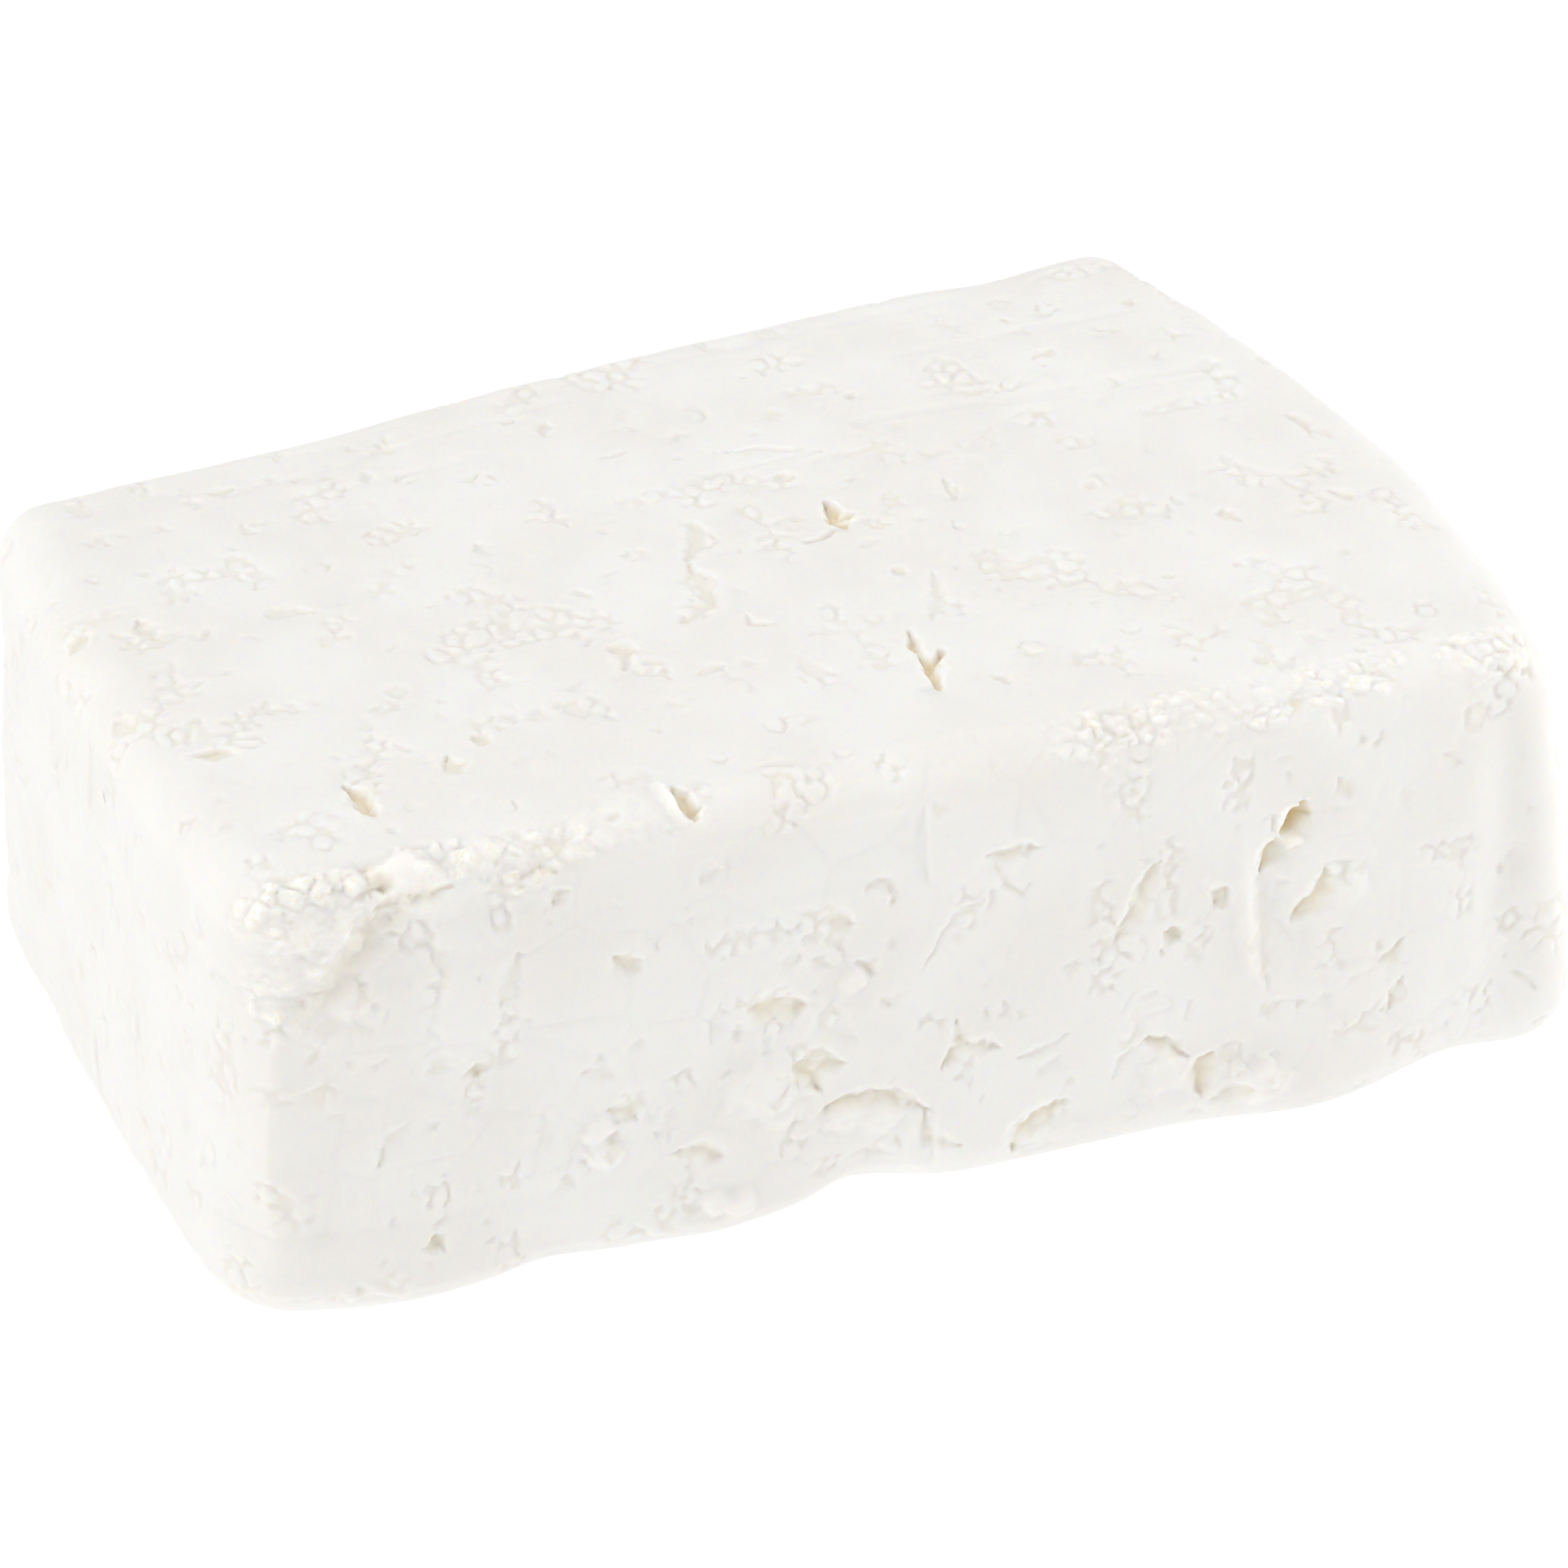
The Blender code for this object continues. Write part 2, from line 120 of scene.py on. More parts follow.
# Ledges and hollows that are too wide for a tear: what it is, face, line, half width, depth, and how
# much painted shade it takes, as the part of its depth that counts as an opening's
HOLLOWS = (
    ("hollow below the chunk", FRONT,
     ((-40.2, 9.0), (-37.6, 10.8), (-35.0, 12.6), (-30.5, 13.0), (-25.0, 12.8)), 2.6, 0.9, 0.15),
    ("valley under the ridge", FRONT,
     ((-34.3, 15.0), (-36.5, 13.2), (-38.4, 11.0), (-40.2, 9.3), (-41.8, 8.2)), 1.3, 0.8, 0.5),
    ("front beside the left upright", FRONT, ((-39.9, 6.0), (-40.2, -2.0), (-39.9, -11.0)), 2.6, 0.6, 0.1),
    ("hollow under the rim, left", FRONT, ((-14.0, 12.7), (-7.0, 12.5), (-1.0, 12.3)), 2.6, 0.2, 0.1),
    ("hollow under the rim, right", FRONT, ((-1.0, 12.3), (6.0, 12.1), (13.0, 12.1)), 2.6, 0.2, 0.1),
    ("groove inside the right rim", FRONT,
     ((40.2, 15.0), (41.6, 13.6), (42.3, 10.5), (41.5, 6.5), (41.4, 2.5), (40.8, -1.5), (41.1, -5.0),
      (40.8, -9.5)), 2.2, 0.85, 0.15),
    ("field round the darkest hole", FRONT, ((27.2, 8.0), (25.6, 5.8), (24.4, 3.2)), 1.5, 0.45, 0.5),
    ("sunk field by the lens hole", FRONT, ((24.9, 3.0), (25.1, -3.6)), 1.9, 0.45, 0.1),
)

# Swells with a crest along a line: what it is, face, line, half width, height, and how much painted
# highlight its crest takes, as the part of its height that counts as a lump's
RIDGES = (
    ("left upright", FRONT,
     ((-42.9, 12.8), (-43.3, 9.0), (-44.0, 3.0), (-44.6, -3.0), (-44.4, -9.0), (-43.8, -15.0)),
     4.8, 2.6, 0.0),
    ("right rim", FRONT, ((44.8, 14.0), (44.6, 4.0), (44.2, -10.0)), 2.0, 0.45, 3.0),
    ("edge of the step", FRONT, ((22.2, 8.0), (22.2, 1.5), (22.3, -4.5)), 0.9, 0.5, 0.8),
    ("raised flake", TOP, ((-16.3, -25.2), (-16.2, -28.3), (-15.9, -30.6)), 0.5, 0.9, 1.3),
)

# Openings between the curds: what it is, face, the line it follows, half width and depth. Those on
# the front have their steep side above, or on the left where a row says so
ABOVE, ASIDE = "above", "aside"
TEARS = (
    ("star hole", TOP, ((8.5, 3.6), (8.1, 1.2), (7.9, -0.9)), 0.6, 1.3),
    ("star hole, cross", TOP, ((6.9, 1.3), (8.1, 1.1), (9.9, 1.2)), 0.45, 1.0),
    ("crack beside the star hole", TOP, ((4.3, -1.1), (5.7, -1.1), (7.3, -0.5)), 0.3, 0.6),
    ("forked hole", TOP, ((6.3, -14.4), (5.9, -16.4), (6.2, -18.0)), 0.42, 1.1),
    ("forked hole, body", TOP, ((6.0, -16.6), (5.9, -18.6), (5.0, -21.6)), 0.5, 1.4),
    ("forked hole, arm", TOP, ((5.9, -18.6), (7.6, -17.0)), 0.4, 1.2),
    ("shallow chain, upper", TOP, ((-1.3, 5.3), (-1.7, 2.1), (-3.9, -0.1)), 0.9, 0.45),
    ("shallow chain, lower", TOP, ((-3.7, -0.3), (-3.7, -3.3), (-4.5, -5.9), (-7.7, -7.7)), 1.0, 0.5),
    ("tee pit", TOP, ((-12.7, -8.7), (-11.1, -9.7)), 0.8, 0.55),
    ("tee pit, stem", TOP, ((-11.9, -9.5), (-12.9, -11.9)), 0.6, 0.5),
    ("slot of the upper field", TOP, ((-18.7, -1.5), (-17.9, -2.9), (-17.1, -4.1)), 0.5, 0.4),
    ("hair crack", TOP, ((3.5, 12.7), (7.5, 11.7), (11.1, 9.5)), 0.25, 0.35),
    ("angle line", TOP, ((-2.5, -7.9), (-2.9, -9.5), (-1.1, -10.3)), 0.3, 0.4),
    ("wide shallow pit", TOP, ((13.7, -9.1), (15.3, -8.9), (16.5, -9.5)), 0.8, 0.4),
    ("slanting shallow pit", TOP, ((11.1, -7.7), (10.3, -10.3), (8.1, -14.1)), 0.6, 0.35),
    ("pit at the right", TOP, ((38.5, -7.9), (39.7, -9.7)), 0.6, 0.5),
    ("notch on the left edge", TOP, ((-45.5, 7.9), (-44.3, 8.3), (-43.1, 8.3)), 0.7, 0.7),
    ("slot at the left", TOP, ((-31.9, 5.5), (-29.9, 4.9), (-28.7, 3.9)), 0.6, 0.4),
    ("round pit at the left", TOP, ((-40.1, -10.1), (-40.5, -11.7)), 1.1, 0.7),
    ("pit before the ridge", TOP, ((-24.9, -15.7), (-24.1, -16.9)), 0.7, 0.55),
    ("its neighbour", TOP, ((-27.3, -17.5), (-27.1, -19.7)), 0.7, 0.55),
    ("ragged slot", TOP, ((-34.1, -18.3), (-33.7, -19.5), (-34.1, -21.3), (-33.9, -22.9)), 0.65, 1.1),
    ("recess behind the flake", TOP, ((-15.5, -25.9), (-15.2, -28.0), (-14.6, -30.4)), 0.65, 1.15),
    ("notch beside the chunk", FRONT, ((-35.7, 17.0), (-35.8, 15.8)), 0.55, 0.55),
    ("crack under the chunk", FRONT, ((-36.5, 13.4), (-35.7, 14.8), (-33.6, 15.4), (-31.4, 15.3)),
     0.55, 0.9),
    ("ridge notch", FRONT, ((-27.5, 15.3), (-25.9, 15.5), (-24.5, 15.1)), 0.7, 0.7),
    ("notch below it", FRONT, ((-25.1, 12.1), (-24.5, 13.1), (-23.7, 13.3)), 0.45, 0.8),
    ("long slit", FRONT, ((-27.3, 9.7), (-27.9, 8.1), (-28.7, 5.7)), 0.6, 0.5),
    ("pit with a corner", FRONT, ((-21.1, 7.7), (-20.1, 6.9), (-19.3, 7.1)), 0.75, 0.9),
    ("drop pit", FRONT, ((-30.5, 1.9), (-30.1, 0.9)), 0.8, 1.1),
    ("curved slit", FRONT, ((-34.9, -1.3), (-35.9, -2.3), (-37.1, -4.5)), 0.6, 0.5),
    ("foot hole", FRONT, ((-33.5, -10.7), (-33.1, -11.5)), 0.8, 1.1),
    ("hollow", FRONT, ((-21.9, -3.7), (-20.5, -4.1), (-20.1, -4.9)), 1.0, 0.9),
    ("dark arc", FRONT, ((-17.7, -8.3), (-15.9, -8.3), (-14.3, -9.5)), 0.55, 0.9),
    ("centre slot", FRONT, ((-6.9, 6.9), (-4.9, 6.5)), 0.65, 0.8),
    ("crescent", FRONT, ((-4.1, 9.1), (-3.1, 9.1), (-2.3, 8.3), (-2.5, 7.3)), 0.5, 0.7),
    ("pit over the lump", FRONT, ((-5.1, 3.5), (-3.7, 2.3)), 0.6, 0.8),
    ("wide slot", FRONT, ((-12.3, 1.9), (-10.1, 1.3), (-8.5, 0.9)), 0.95, 1.1),
    ("deep triangle", FRONT, ((-9.6, -3.4), (-8.4, -4.3), (-7.8, -5.7)), 0.9, 1.1, ASIDE),
    ("deep triangle, roof", FRONT, ((-9.7, -3.4), (-7.7, -3.6), (-5.9, -4.0)), 0.7, 1.0),
    ("shade over the deep triangle", FRONT, ((-8.6, -2.0), (-6.8, -1.7), (-5.0, -2.2)), 1.2, 0.4),
    ("long tear", FRONT, ((-8.1, -7.5), (-5.5, -6.9), (-3.3, -7.3), (-0.1, -9.3)), 0.55, 1.1),
    ("long tear, branch", FRONT, ((-0.5, -9.3), (-0.1, -11.7), (1.9, -12.5)), 0.45, 0.8),
    ("upper fork", FRONT, ((4.1, 9.5), (5.5, 9.5), (8.1, 9.3)), 0.45, 0.85),
    ("upper fork, arm", FRONT, ((4.7, 9.3), (5.5, 7.1), (6.7, 6.1), (7.5, 7.1)), 0.4, 0.55),
    ("lower fork", FRONT, ((1.9, -2.7), (2.3, -4.7), (0.5, -6.1)), 0.45, 1.0),
    ("lower fork, arm", FRONT, ((2.3, -4.7), (3.7, -4.9), (4.7, -5.3)), 0.45, 0.9),
    ("lower fork, far line", FRONT, ((5.7, -6.5), (8.1, -6.1), (9.7, -5.3)), 0.35, 0.5),
    ("diagonal line", FRONT, ((4.1, 6.5), (1.9, 5.5), (-0.5, 1.9)), 0.35, 0.45),
    ("slant gash", FRONT, ((16.3, 6.4), (15.0, 4.4), (13.9, 2.6), (12.9, 0.6)), 0.7, 0.9),
    ("gash pit", FRONT, ((19.8, 2.2), (20.6, 2.9), (21.2, 3.1)), 0.9, 1.0),
    ("square hole", FRONT, ((16.5, 0.8), (17.6, -0.1)), 0.95, 1.4),
    ("darkest hole", FRONT, ((26.9, 8.3), (26.1, 7.4), (25.1, 6.4)), 0.9, 2.9),
    ("darkest hole, foot", FRONT, ((24.7, 6.2), (24.2, 5.2), (23.6, 4.0)), 0.75, 1.5, ASIDE),
    ("lens hole", FRONT, ((28.0, 3.4), (27.5, 1.6), (25.7, -0.6)), 0.65, 1.15, ASIDE),
    ("side of the step", FRONT, ((23.5, 5.0), (23.4, 2.0), (23.4, -1.5), (23.5, -5.5)), 0.9, 0.5, ASIDE),
    ("rough stroke", FRONT, ((33.3, -3.7), (32.5, -5.1), (31.1, -5.3)), 0.5, 0.8),
    ("rough stroke, lower", FRONT, ((33.1, -6.7), (32.1, -9.1)), 0.45, 0.8),
    ("foot crescent", FRONT, ((14.7, -7.3), (16.3, -7.9), (17.7, -9.3)), 0.55, 1.1),
    ("foot crescent, rise", FRONT, ((14.7, -7.5), (13.1, -8.5), (12.1, -9.9)), 0.3, 0.5),
    ("foot crack", FRONT, ((19.7, -9.3), (18.5, -10.3), (18.5, -12.7)), 0.6, 1.2),
    ("foot hollow", FRONT, ((19.3, -13.1), (20.9, -12.9), (21.9, -12.5)), 0.9, 0.7),
    ("ledge near the foot", FRONT, ((9.7, -10.7), (7.5, -11.7), (5.9, -12.5), (5.5, -14.3)), 0.65, 1.1),
    ("pit of the left end", LEFT, ((-14.3, 6.1), (-15.7, 5.3)), 0.5, 0.5),
    ("its neighbour on the left end", LEFT, ((-18.7, 5.3), (-20.1, 4.7)), 0.7, 0.4),
)

# Small openings with their two ends and half width. The depth of each is its half width times the
# part that stands below for its face
SMALL_OPENINGS = {
    TOP: (
        (-15.7, -4.7, -13.3, -4.9, 0.55), (-21.1, -10.5, -19.1, -10.5, 0.35),
        (-17.3, -12.7, -15.9, -11.9, 0.4), (-3.5, 15.3, -1.5, 15.3, 0.5), (0.9, 12.9, 2.3, 12.9, 0.4),
        (6.9, 8.1, 7.3, 6.9, 0.8), (10.7, 5.5, 11.1, 4.9, 0.5), (15.9, 16.3, 16.7, 15.7, 0.8),
        (1.7, 0.3, 3.1, 0.9, 0.5), (-11.9, -0.3, -11.5, -1.7, 0.6), (-9.7, 0.3, -8.3, 0.5, 0.4),
        (16.7, 3.1, 16.5, 0.1, 0.6), (12.5, -1.3, 13.3, -1.7, 0.4), (8.5, -6.5, 9.1, -7.5, 0.8),
        (7.9, -3.1, 9.7, -2.5, 0.4), (39.9, 20.5, 40.5, 19.9, 0.7), (39.7, -3.3, 40.3, -5.1, 0.5),
        (27.1, -4.7, 27.9, -5.3, 0.5), (29.1, -4.9, 29.3, -6.1, 0.5), (34.7, -1.1, 34.3, -2.9, 0.45),
        (34.1, -4.5, 34.3, -5.7, 0.5), (28.3, -9.3, 28.7, -10.3, 0.4), (29.1, -13.9, 29.7, -14.7, 0.5),
        (24.1, -14.1, 25.1, -14.1, 0.5), (18.5, -15.3, 19.7, -15.7, 0.35),
        (21.9, -19.3, 23.5, -21.1, 0.4), (25.5, -24.7, 26.1, -25.7, 0.7),
        (28.5, -20.3, 29.1, -21.1, 0.45), (32.1, -26.1, 32.9, -26.7, 0.4),
        (17.1, -26.5, 18.1, -26.7, 0.4), (-39.9, 8.5, -39.3, 5.3, 0.8), (-38.1, 14.3, -37.1, 14.1, 0.5),
        (-31.9, 10.9, -30.3, 10.5, 0.4), (-36.9, 3.5, -35.7, 5.1, 0.5), (-36.9, -1.3, -35.7, -0.7, 0.5),
        (-39.3, -2.3, -38.1, -1.5, 0.5), (-40.5, -6.7, -39.5, -6.3, 0.6),
        (-45.3, -2.5, -43.9, -4.9, 0.7), (-21.3, 12.1, -18.9, 11.9, 0.35),
        (-16.1, 8.5, -15.5, 6.9, 0.6), (-12.1, 9.3, -10.7, 9.5, 0.35),
        (-29.7, -14.5, -29.3, -15.9, 0.5), (-29.3, -9.5, -28.5, -10.3, 0.4),
        (-34.1, -14.1, -33.3, -15.1, 0.4), (-33.7, -24.3, -33.3, -25.1, 0.45),
        (-20.5, -28.3, -19.5, -27.9, 0.5), (-41.3, -27.7, -41.1, -28.9, 0.5),
    ),
    FRONT: (
        (-19.3, 16.9, -16.5, 16.5, 0.4), (-28.5, 16.9, -28.1, 16.7, 0.5),
        (-42.3, 16.1, -41.9, 14.7, 0.45), (-31.5, 10.5, -31.9, 9.5, 0.3), (-29.7, 8.9, -30.3, 8.1, 0.4),
        (-35.9, 7.7, -36.7, 6.3, 0.3), (-33.7, 5.3, -32.7, 4.1, 0.35), (-33.5, 3.3, -32.7, 3.7, 0.4),
        (-41.3, 5.1, -40.7, 4.9, 0.6), (-39.1, 7.1, -38.7, 6.5, 0.4), (-33.7, -1.7, -33.1, -2.5, 0.5),
        (-35.9, -8.3, -36.3, -9.3, 0.4), (-30.5, -7.1, -30.3, -8.1, 0.35),
        (-38.5, -14.1, -37.9, -13.9, 0.6), (-36.7, -14.1, -36.1, -14.1, 0.5),
        (-21.5, -5.3, -21.9, -7.7, 0.7), (-18.9, -6.5, -18.1, -6.3, 0.5),
        (-25.1, -8.1, -24.3, -9.3, 0.6), (-25.5, -6.9, -25.1, -7.5, 0.35),
        (-19.1, -12.9, -18.3, -12.7, 0.5), (-16.7, -12.7, -15.9, -13.1, 0.6),
        (-13.5, 7.1, -11.9, 6.9, 0.45), (-9.9, 4.9, -8.5, 4.9, 0.6), (-2.7, 5.3, -2.3, 3.7, 0.5),
        (-3.3, 0.7, -2.7, -0.3, 0.6), (-8.5, 1.1, -4.5, 0.3, 0.25), (-14.3, 2.9, -15.1, -0.3, 0.5),
        (-8.7, -2.7, -6.5, -3.3, 0.8), (-7.5, -7.3, -8.3, -8.3, 0.35), (0.7, 14.3, 1.7, 13.7, 0.5),
        (19.7, 2.1, 19.1, 0.9, 0.3), (17.9, -0.3, 18.9, -1.9, 0.55), (9.1, -0.3, 10.3, -0.3, 0.6),
        (8.7, -0.7, 8.1, -1.9, 0.25), (29.1, 9.7, 29.9, 8.3, 0.7), (24.5, 12.1, 25.9, 12.1, 0.35),
        (31.1, -5.5, 28.7, -6.3, 0.4), (31.5, -7.9, 30.1, -9.5, 0.35), (26.7, -7.1, 28.1, -6.9, 0.4),
        (26.5, -4.5, 27.9, -4.3, 0.4), (9.7, -12.5, 10.3, -12.5, 0.35), (5.9, -2.7, 6.5, -3.1, 0.4),
        (3.5, -0.3, 3.9, -0.7, 0.3), (2.9, -8.9, 3.7, -9.1, 0.4), (38.1, -12.3, 37.9, -14.3, 0.35),
        (17.9, -4.7, 17.7, -6.5, 0.4), (14.3, -2.7, 12.9, -4.7, 0.3),
    ),
    LEFT: (
        (-11.7, 6.9, -12.9, 6.3, 0.5), (-10.3, -2.9, -10.9, -3.3, 0.5), (5.5, 9.7, 4.5, 9.5, 0.4),
    ),
}
SMALL_DEPTH = {TOP: 0.6, FRONT: 0.85, LEFT: 0.9}

# Further openings drawn at random: how many on each face, and the least and greatest length, half
# width and depth of one. Long tears go on the two sides that have no named ones. Lines rise by this
# much for their run, their middle is bent aside by this part of them, and none starts this near an edge
SMALL_PITS = {TOP: 35, FRONT: 30, LEFT: 16, RIGHT: 45, BACK: 65}
PIT_LENGTH, PIT_WIDTH, PIT_DEPTH = (0.5, 2.6), (0.35, 0.8), (0.15, 0.5)
LONG_TEARS = {RIGHT: 6, BACK: 12}
TEAR_LENGTH, TEAR_WIDTH, TEAR_DEPTH = (3.0, 6.5), (0.5, 1.0), (0.9, 1.7)
SLANT_RISE, LINE_BEND, EDGE_MARGIN = 1.1, 0.4, 3.0

# An opening is at its full depth up to the first of these parts of its half width, and the skin
# starts at the second: on its steep side, on its gentle side, and on both sides on the top
STEEP_SIDE, GENTLE_SIDE, TOP_SIDE = (0.2, 1.2), (0.0, 2.3), (0.35, 1.2)
# The shape of the wall: its depth is this power of the way left to the skin, on the steep side, on the
# gentle side and on the top
STEEP_WALL, GENTLE_WALL, TOP_WALL = 1.2, 1.5, 1.3
# An opening is this much narrower at its ends, and all depths are this part of those in the rows
END_TAPER, DEPTH_SHARE = 0.85, {TOP: 0.6, FRONT: 0.42, LEFT: 0.4, RIGHT: 0.42, BACK: 0.42}
# How far the lip over a tear leans out over it, and how high the skin swells round an opening, for
# each millimetre of depth on the steep side; how far along the wall that swelling is, and how wide
LIP_LEAN, LIP_SWELL, LIP_PLACE, LIP_WIDTH = 0.12, 0.15, 1.2, 0.35
# An opening reaches this part of its half width further along the seams between small curds, is
# wider or narrower by this part from curd to curd, and the curds on its floor stand up by this part
SEAM_REACH, CURD_CHANGE, FLOOR_CURDS = 0.35, 0.3, 0.2

# Straight marks of the pressing cloth on the top: two ends, half width and depth
PRESS_LINES = (
    ((-32.0, 22.2), (-2.3, 23.9), 0.5, 0.12), ((-21.8, 19.7), (-10.8, 19.2), 0.4, 0.09),
    ((2.2, 9.9), (11.0, 9.9), 0.35, 0.14), ((15.2, 12.4), (40.2, 9.9), 0.6, 0.16),
    ((21.5, 19.7), (40.0, 19.2), 0.5, 0.11), ((-5.0, 26.0), (30.0, 25.4), 0.5, 0.09),
    ((24.0, 10.9), (41.0, 8.4), 0.4, 0.1),
)

# Waves of the skin: size of a wave and its height
WAVES = ((14.0, 0.24), (6.0, 0.14), (3.0, 0.065), (1.5, 0.03), (0.8, 0.012))
# The edges of openings and lumps wander by waves of these sizes, this far
WANDERS = ((1.7, 0.22), (0.8, 0.12))
# The top was pressed flat: this part of the waves and of the curds is gone there, and it fades in where
# the way out points up by this much
PRESSED_FLAT, TOP_FADE = 0.6, (0.7, 0.95)
# Pressed curds: their size, how much one stands out or in, how far from its seam it does so in full,
# and the seam between two
CURD_SIZE, CURD_HEIGHT, CURD_ROUND, SEAM_WIDTH, SEAM_DEPTH = 5.5, 0.09, 0.9, 0.3, 0.06
# Seams, crumbs, bowls that curds left, and open corners come in patches: the size of a patch in
# millimetres, and the values of its waves between which it fades in
SEAM_PATCH, RIM_PATCH = (3.0 * CURD_SIZE, -0.5, 0.4), (3.5, -0.8, 0.2)
BOWL_PATCH, CORNER_PATCH = (4.5, -0.5, 0.3), (2.4, 0.25, 0.6)
# Small curds: their size, and how long they are along X for their width
GRAIN_SIZE, GRAIN_STRETCH = 1.4, 0.85
# Some small curds have come off: sizes of curd, the part of them that has, and the depth it leaves
MISSING_CURDS = ((1.2, 0.03, 0.22), (0.8, 0.03, 0.15))
# A lump is full within this part of its radius and ends at that one, and it is smooth, without crumbs
# on it, where it stands out between these heights
LUMP_EDGE, SMOOTH_LUMP = (0.35, 1.2), (0.3, 0.9)
# Where three small curds meet, some corners are open: radius and depth
CORNER_RADIUS, CORNER_DEPTH = 0.34, 0.2
# The crumbled rim of the front: its two stretches, the sizes of its crumbs and how far they stand out
# or in, the part of that by which the seams between them are deeper, the length of its ends, and the
# size and height of the waves by which it goes up and down, as a part of the way round the edge
RIM_STRETCHES, RIM_CRUMBS = ((-50.0, -18.0), (6.0, 52.0)), ((2.4, 0.26), (1.3, 0.36), (0.75, 0.27))
RIM_SEAM, RIM_FADE, RIM_WAVE_SIZE, RIM_WAVE = 0.15, 7.0, 2.4, 0.3
# The part of a crumb's size over which it rounds off towards the seams, and how far the way out has to
# point up and to the front for the rim to fade in
CRUMB_ROUND, RIM_UP, RIM_OUT = 0.3, (0.3, 0.6), (0.05, 0.35)
# The shoulder at the rim's left end is crumbled too: its line on the front, how far round it, how much
SHOULDER, SHOULDER_REACH, SHOULDER_SHARE = ((-43.2, 9.5), (-40.6, 12.6), (-37.5, 15.5)), 4.0, 0.5
# A place between crumbs takes as much painted shade as an opening so many times as deep; crumbs and
# lumps take a painted highlight, whiter as they stand out between these heights
CRUMB_SHADE, CRUMB_RISE, LUMP_HIGHLIGHT = 1.8, (0.0, 0.3), (0.15, 1.3)
# Wide hollows and ridges end this many half widths from their line, and are this much lower at its ends
LINE_SPREAD, HOLLOW_TAPER, RIDGE_TAPER = 1.6, 0.6, 0.95
# Hollows change in depth by waves of this size, by this part; a ridge's crest is sharp at power 1
HOLLOW_WAVE_SIZE, HOLLOW_CHANGE, RIDGE_CREST = 2.7, 0.4, 1.25
# Nodes along each side of the lattices that waves and curds are drawn on, and the seeds of all draws
LATTICE = 64
PLACE_SEED, WAVE_SEED, WANDER_SEED, CURD_SEED, GRAIN_SEED, OPEN_SEED, RIM_SEED = 7, 11, 21, 31, 41, 45, 51
# The relief fades in where the way out, going up round the foot, has these heights
FOOT_FADE = (-0.85, -0.4)

# Width of a cell of the grid that the skin is worked out on, and the triangles left of it
CELL, TRIANGLES = 0.23, 185000


def smooth_step(value, low, high):
    """Rises from 0 at low to 1 at high, level at both ends."""
    part = np.clip((value - low) / (high - low), 0.0, 1.0)
    return part * part * (3.0 - 2.0 * part)


def wave_field(points, size, seed):
    """Smooth random waves between -1 and 1: a lattice of random values, blended between its nodes."""
    lattice = np.random.default_rng(seed).uniform(-1.0, 1.0, (LATTICE, LATTICE, LATTICE))
    place = points / size
    node = np.floor(place).astype(int)
    part = place - node
    part = part * part * (3.0 - 2.0 * part)
    total = np.zeros(len(points))
    for corner in np.ndindex(2, 2, 2):
        weight = np.where(corner, part, 1.0 - part).prod(axis=1)
        at = (node + corner) % LATTICE
        total += weight * lattice[at[:, 0], at[:, 1], at[:, 2]]
    return total


def patches(points, patch, seed):
    """Irregular patches, 1 inside and 0 outside: where smooth waves of the patch's size stand high."""
    size, low, high = patch
    return smooth_step(wave_field(points, size, seed), low, high)


def curd_cells(points, size, seed):
    """Curds as the cells round random middles: the way to the seam, to the corner, and a random value.

    One middle lies in each cube of a lattice. The seam is where the nearest two middles are equally
    far, the corner where the nearest three are, and half the difference is the way to it.
    """
    random = np.random.default_rng(seed)
    middles = random.uniform(0.0, 1.0, (LATTICE, LATTICE, LATTICE, 3))
    values = random.uniform(-1.0, 1.0, (LATTICE, LATTICE, LATTICE))
    place = points / size
    node = np.floor(place).astype(int)
    first, second, third = np.full((3, len(points)), np.inf)
    value = np.zeros(len(points))
    for step in np.ndindex(3, 3, 3):
        cube = node + step - 1
        at = cube % LATTICE
        away = np.linalg.norm(place - cube - middles[at[:, 0], at[:, 1], at[:, 2]], axis=1)
        third = np.where(away < second, second, np.minimum(third, away))
        second = np.where(away < first, first, np.minimum(second, away))
        value = np.where(away < first, values[at[:, 0], at[:, 1], at[:, 2]], value)
        first = np.minimum(first, away)
    return size * (second - first) / 2.0, size * (third - first) / 2.0, value


def rounded(cube):
    """Takes points on a cube of side 2 to the squared block with rounded edges, with the way out.

    A point of the squared block is pulled back to the core that lies one radius inside it, and
    stands off that core by the radius.
    """
    square = cube * HALF
    upright = np.zeros(len(cube))
    for (side, front), radius in UPRIGHT_RADIUS.items():
        here = (np.where(cube[:, 0] > 0, 1, -1) == side) & (np.where(cube[:, 1] > 0, 1, -1) == front)
        upright[here] = radius
    level = np.where(cube[:, 2] > 0, RIM_RADIUS, FOOT_RADIUS)
    start, end = RADIUS_CHANGE
    change = np.clip((np.abs(cube[:, 2]) - start) / (end - start), 0.0, 1.0)
    radius = (upright * (1.0 - change) + level * change)[:, None]
    core = np.clip(square, radius - HALF, HALF - radius)
    out = square - core
    out /= np.linalg.norm(out, axis=1)[:, None]
    return core + radius * out, out


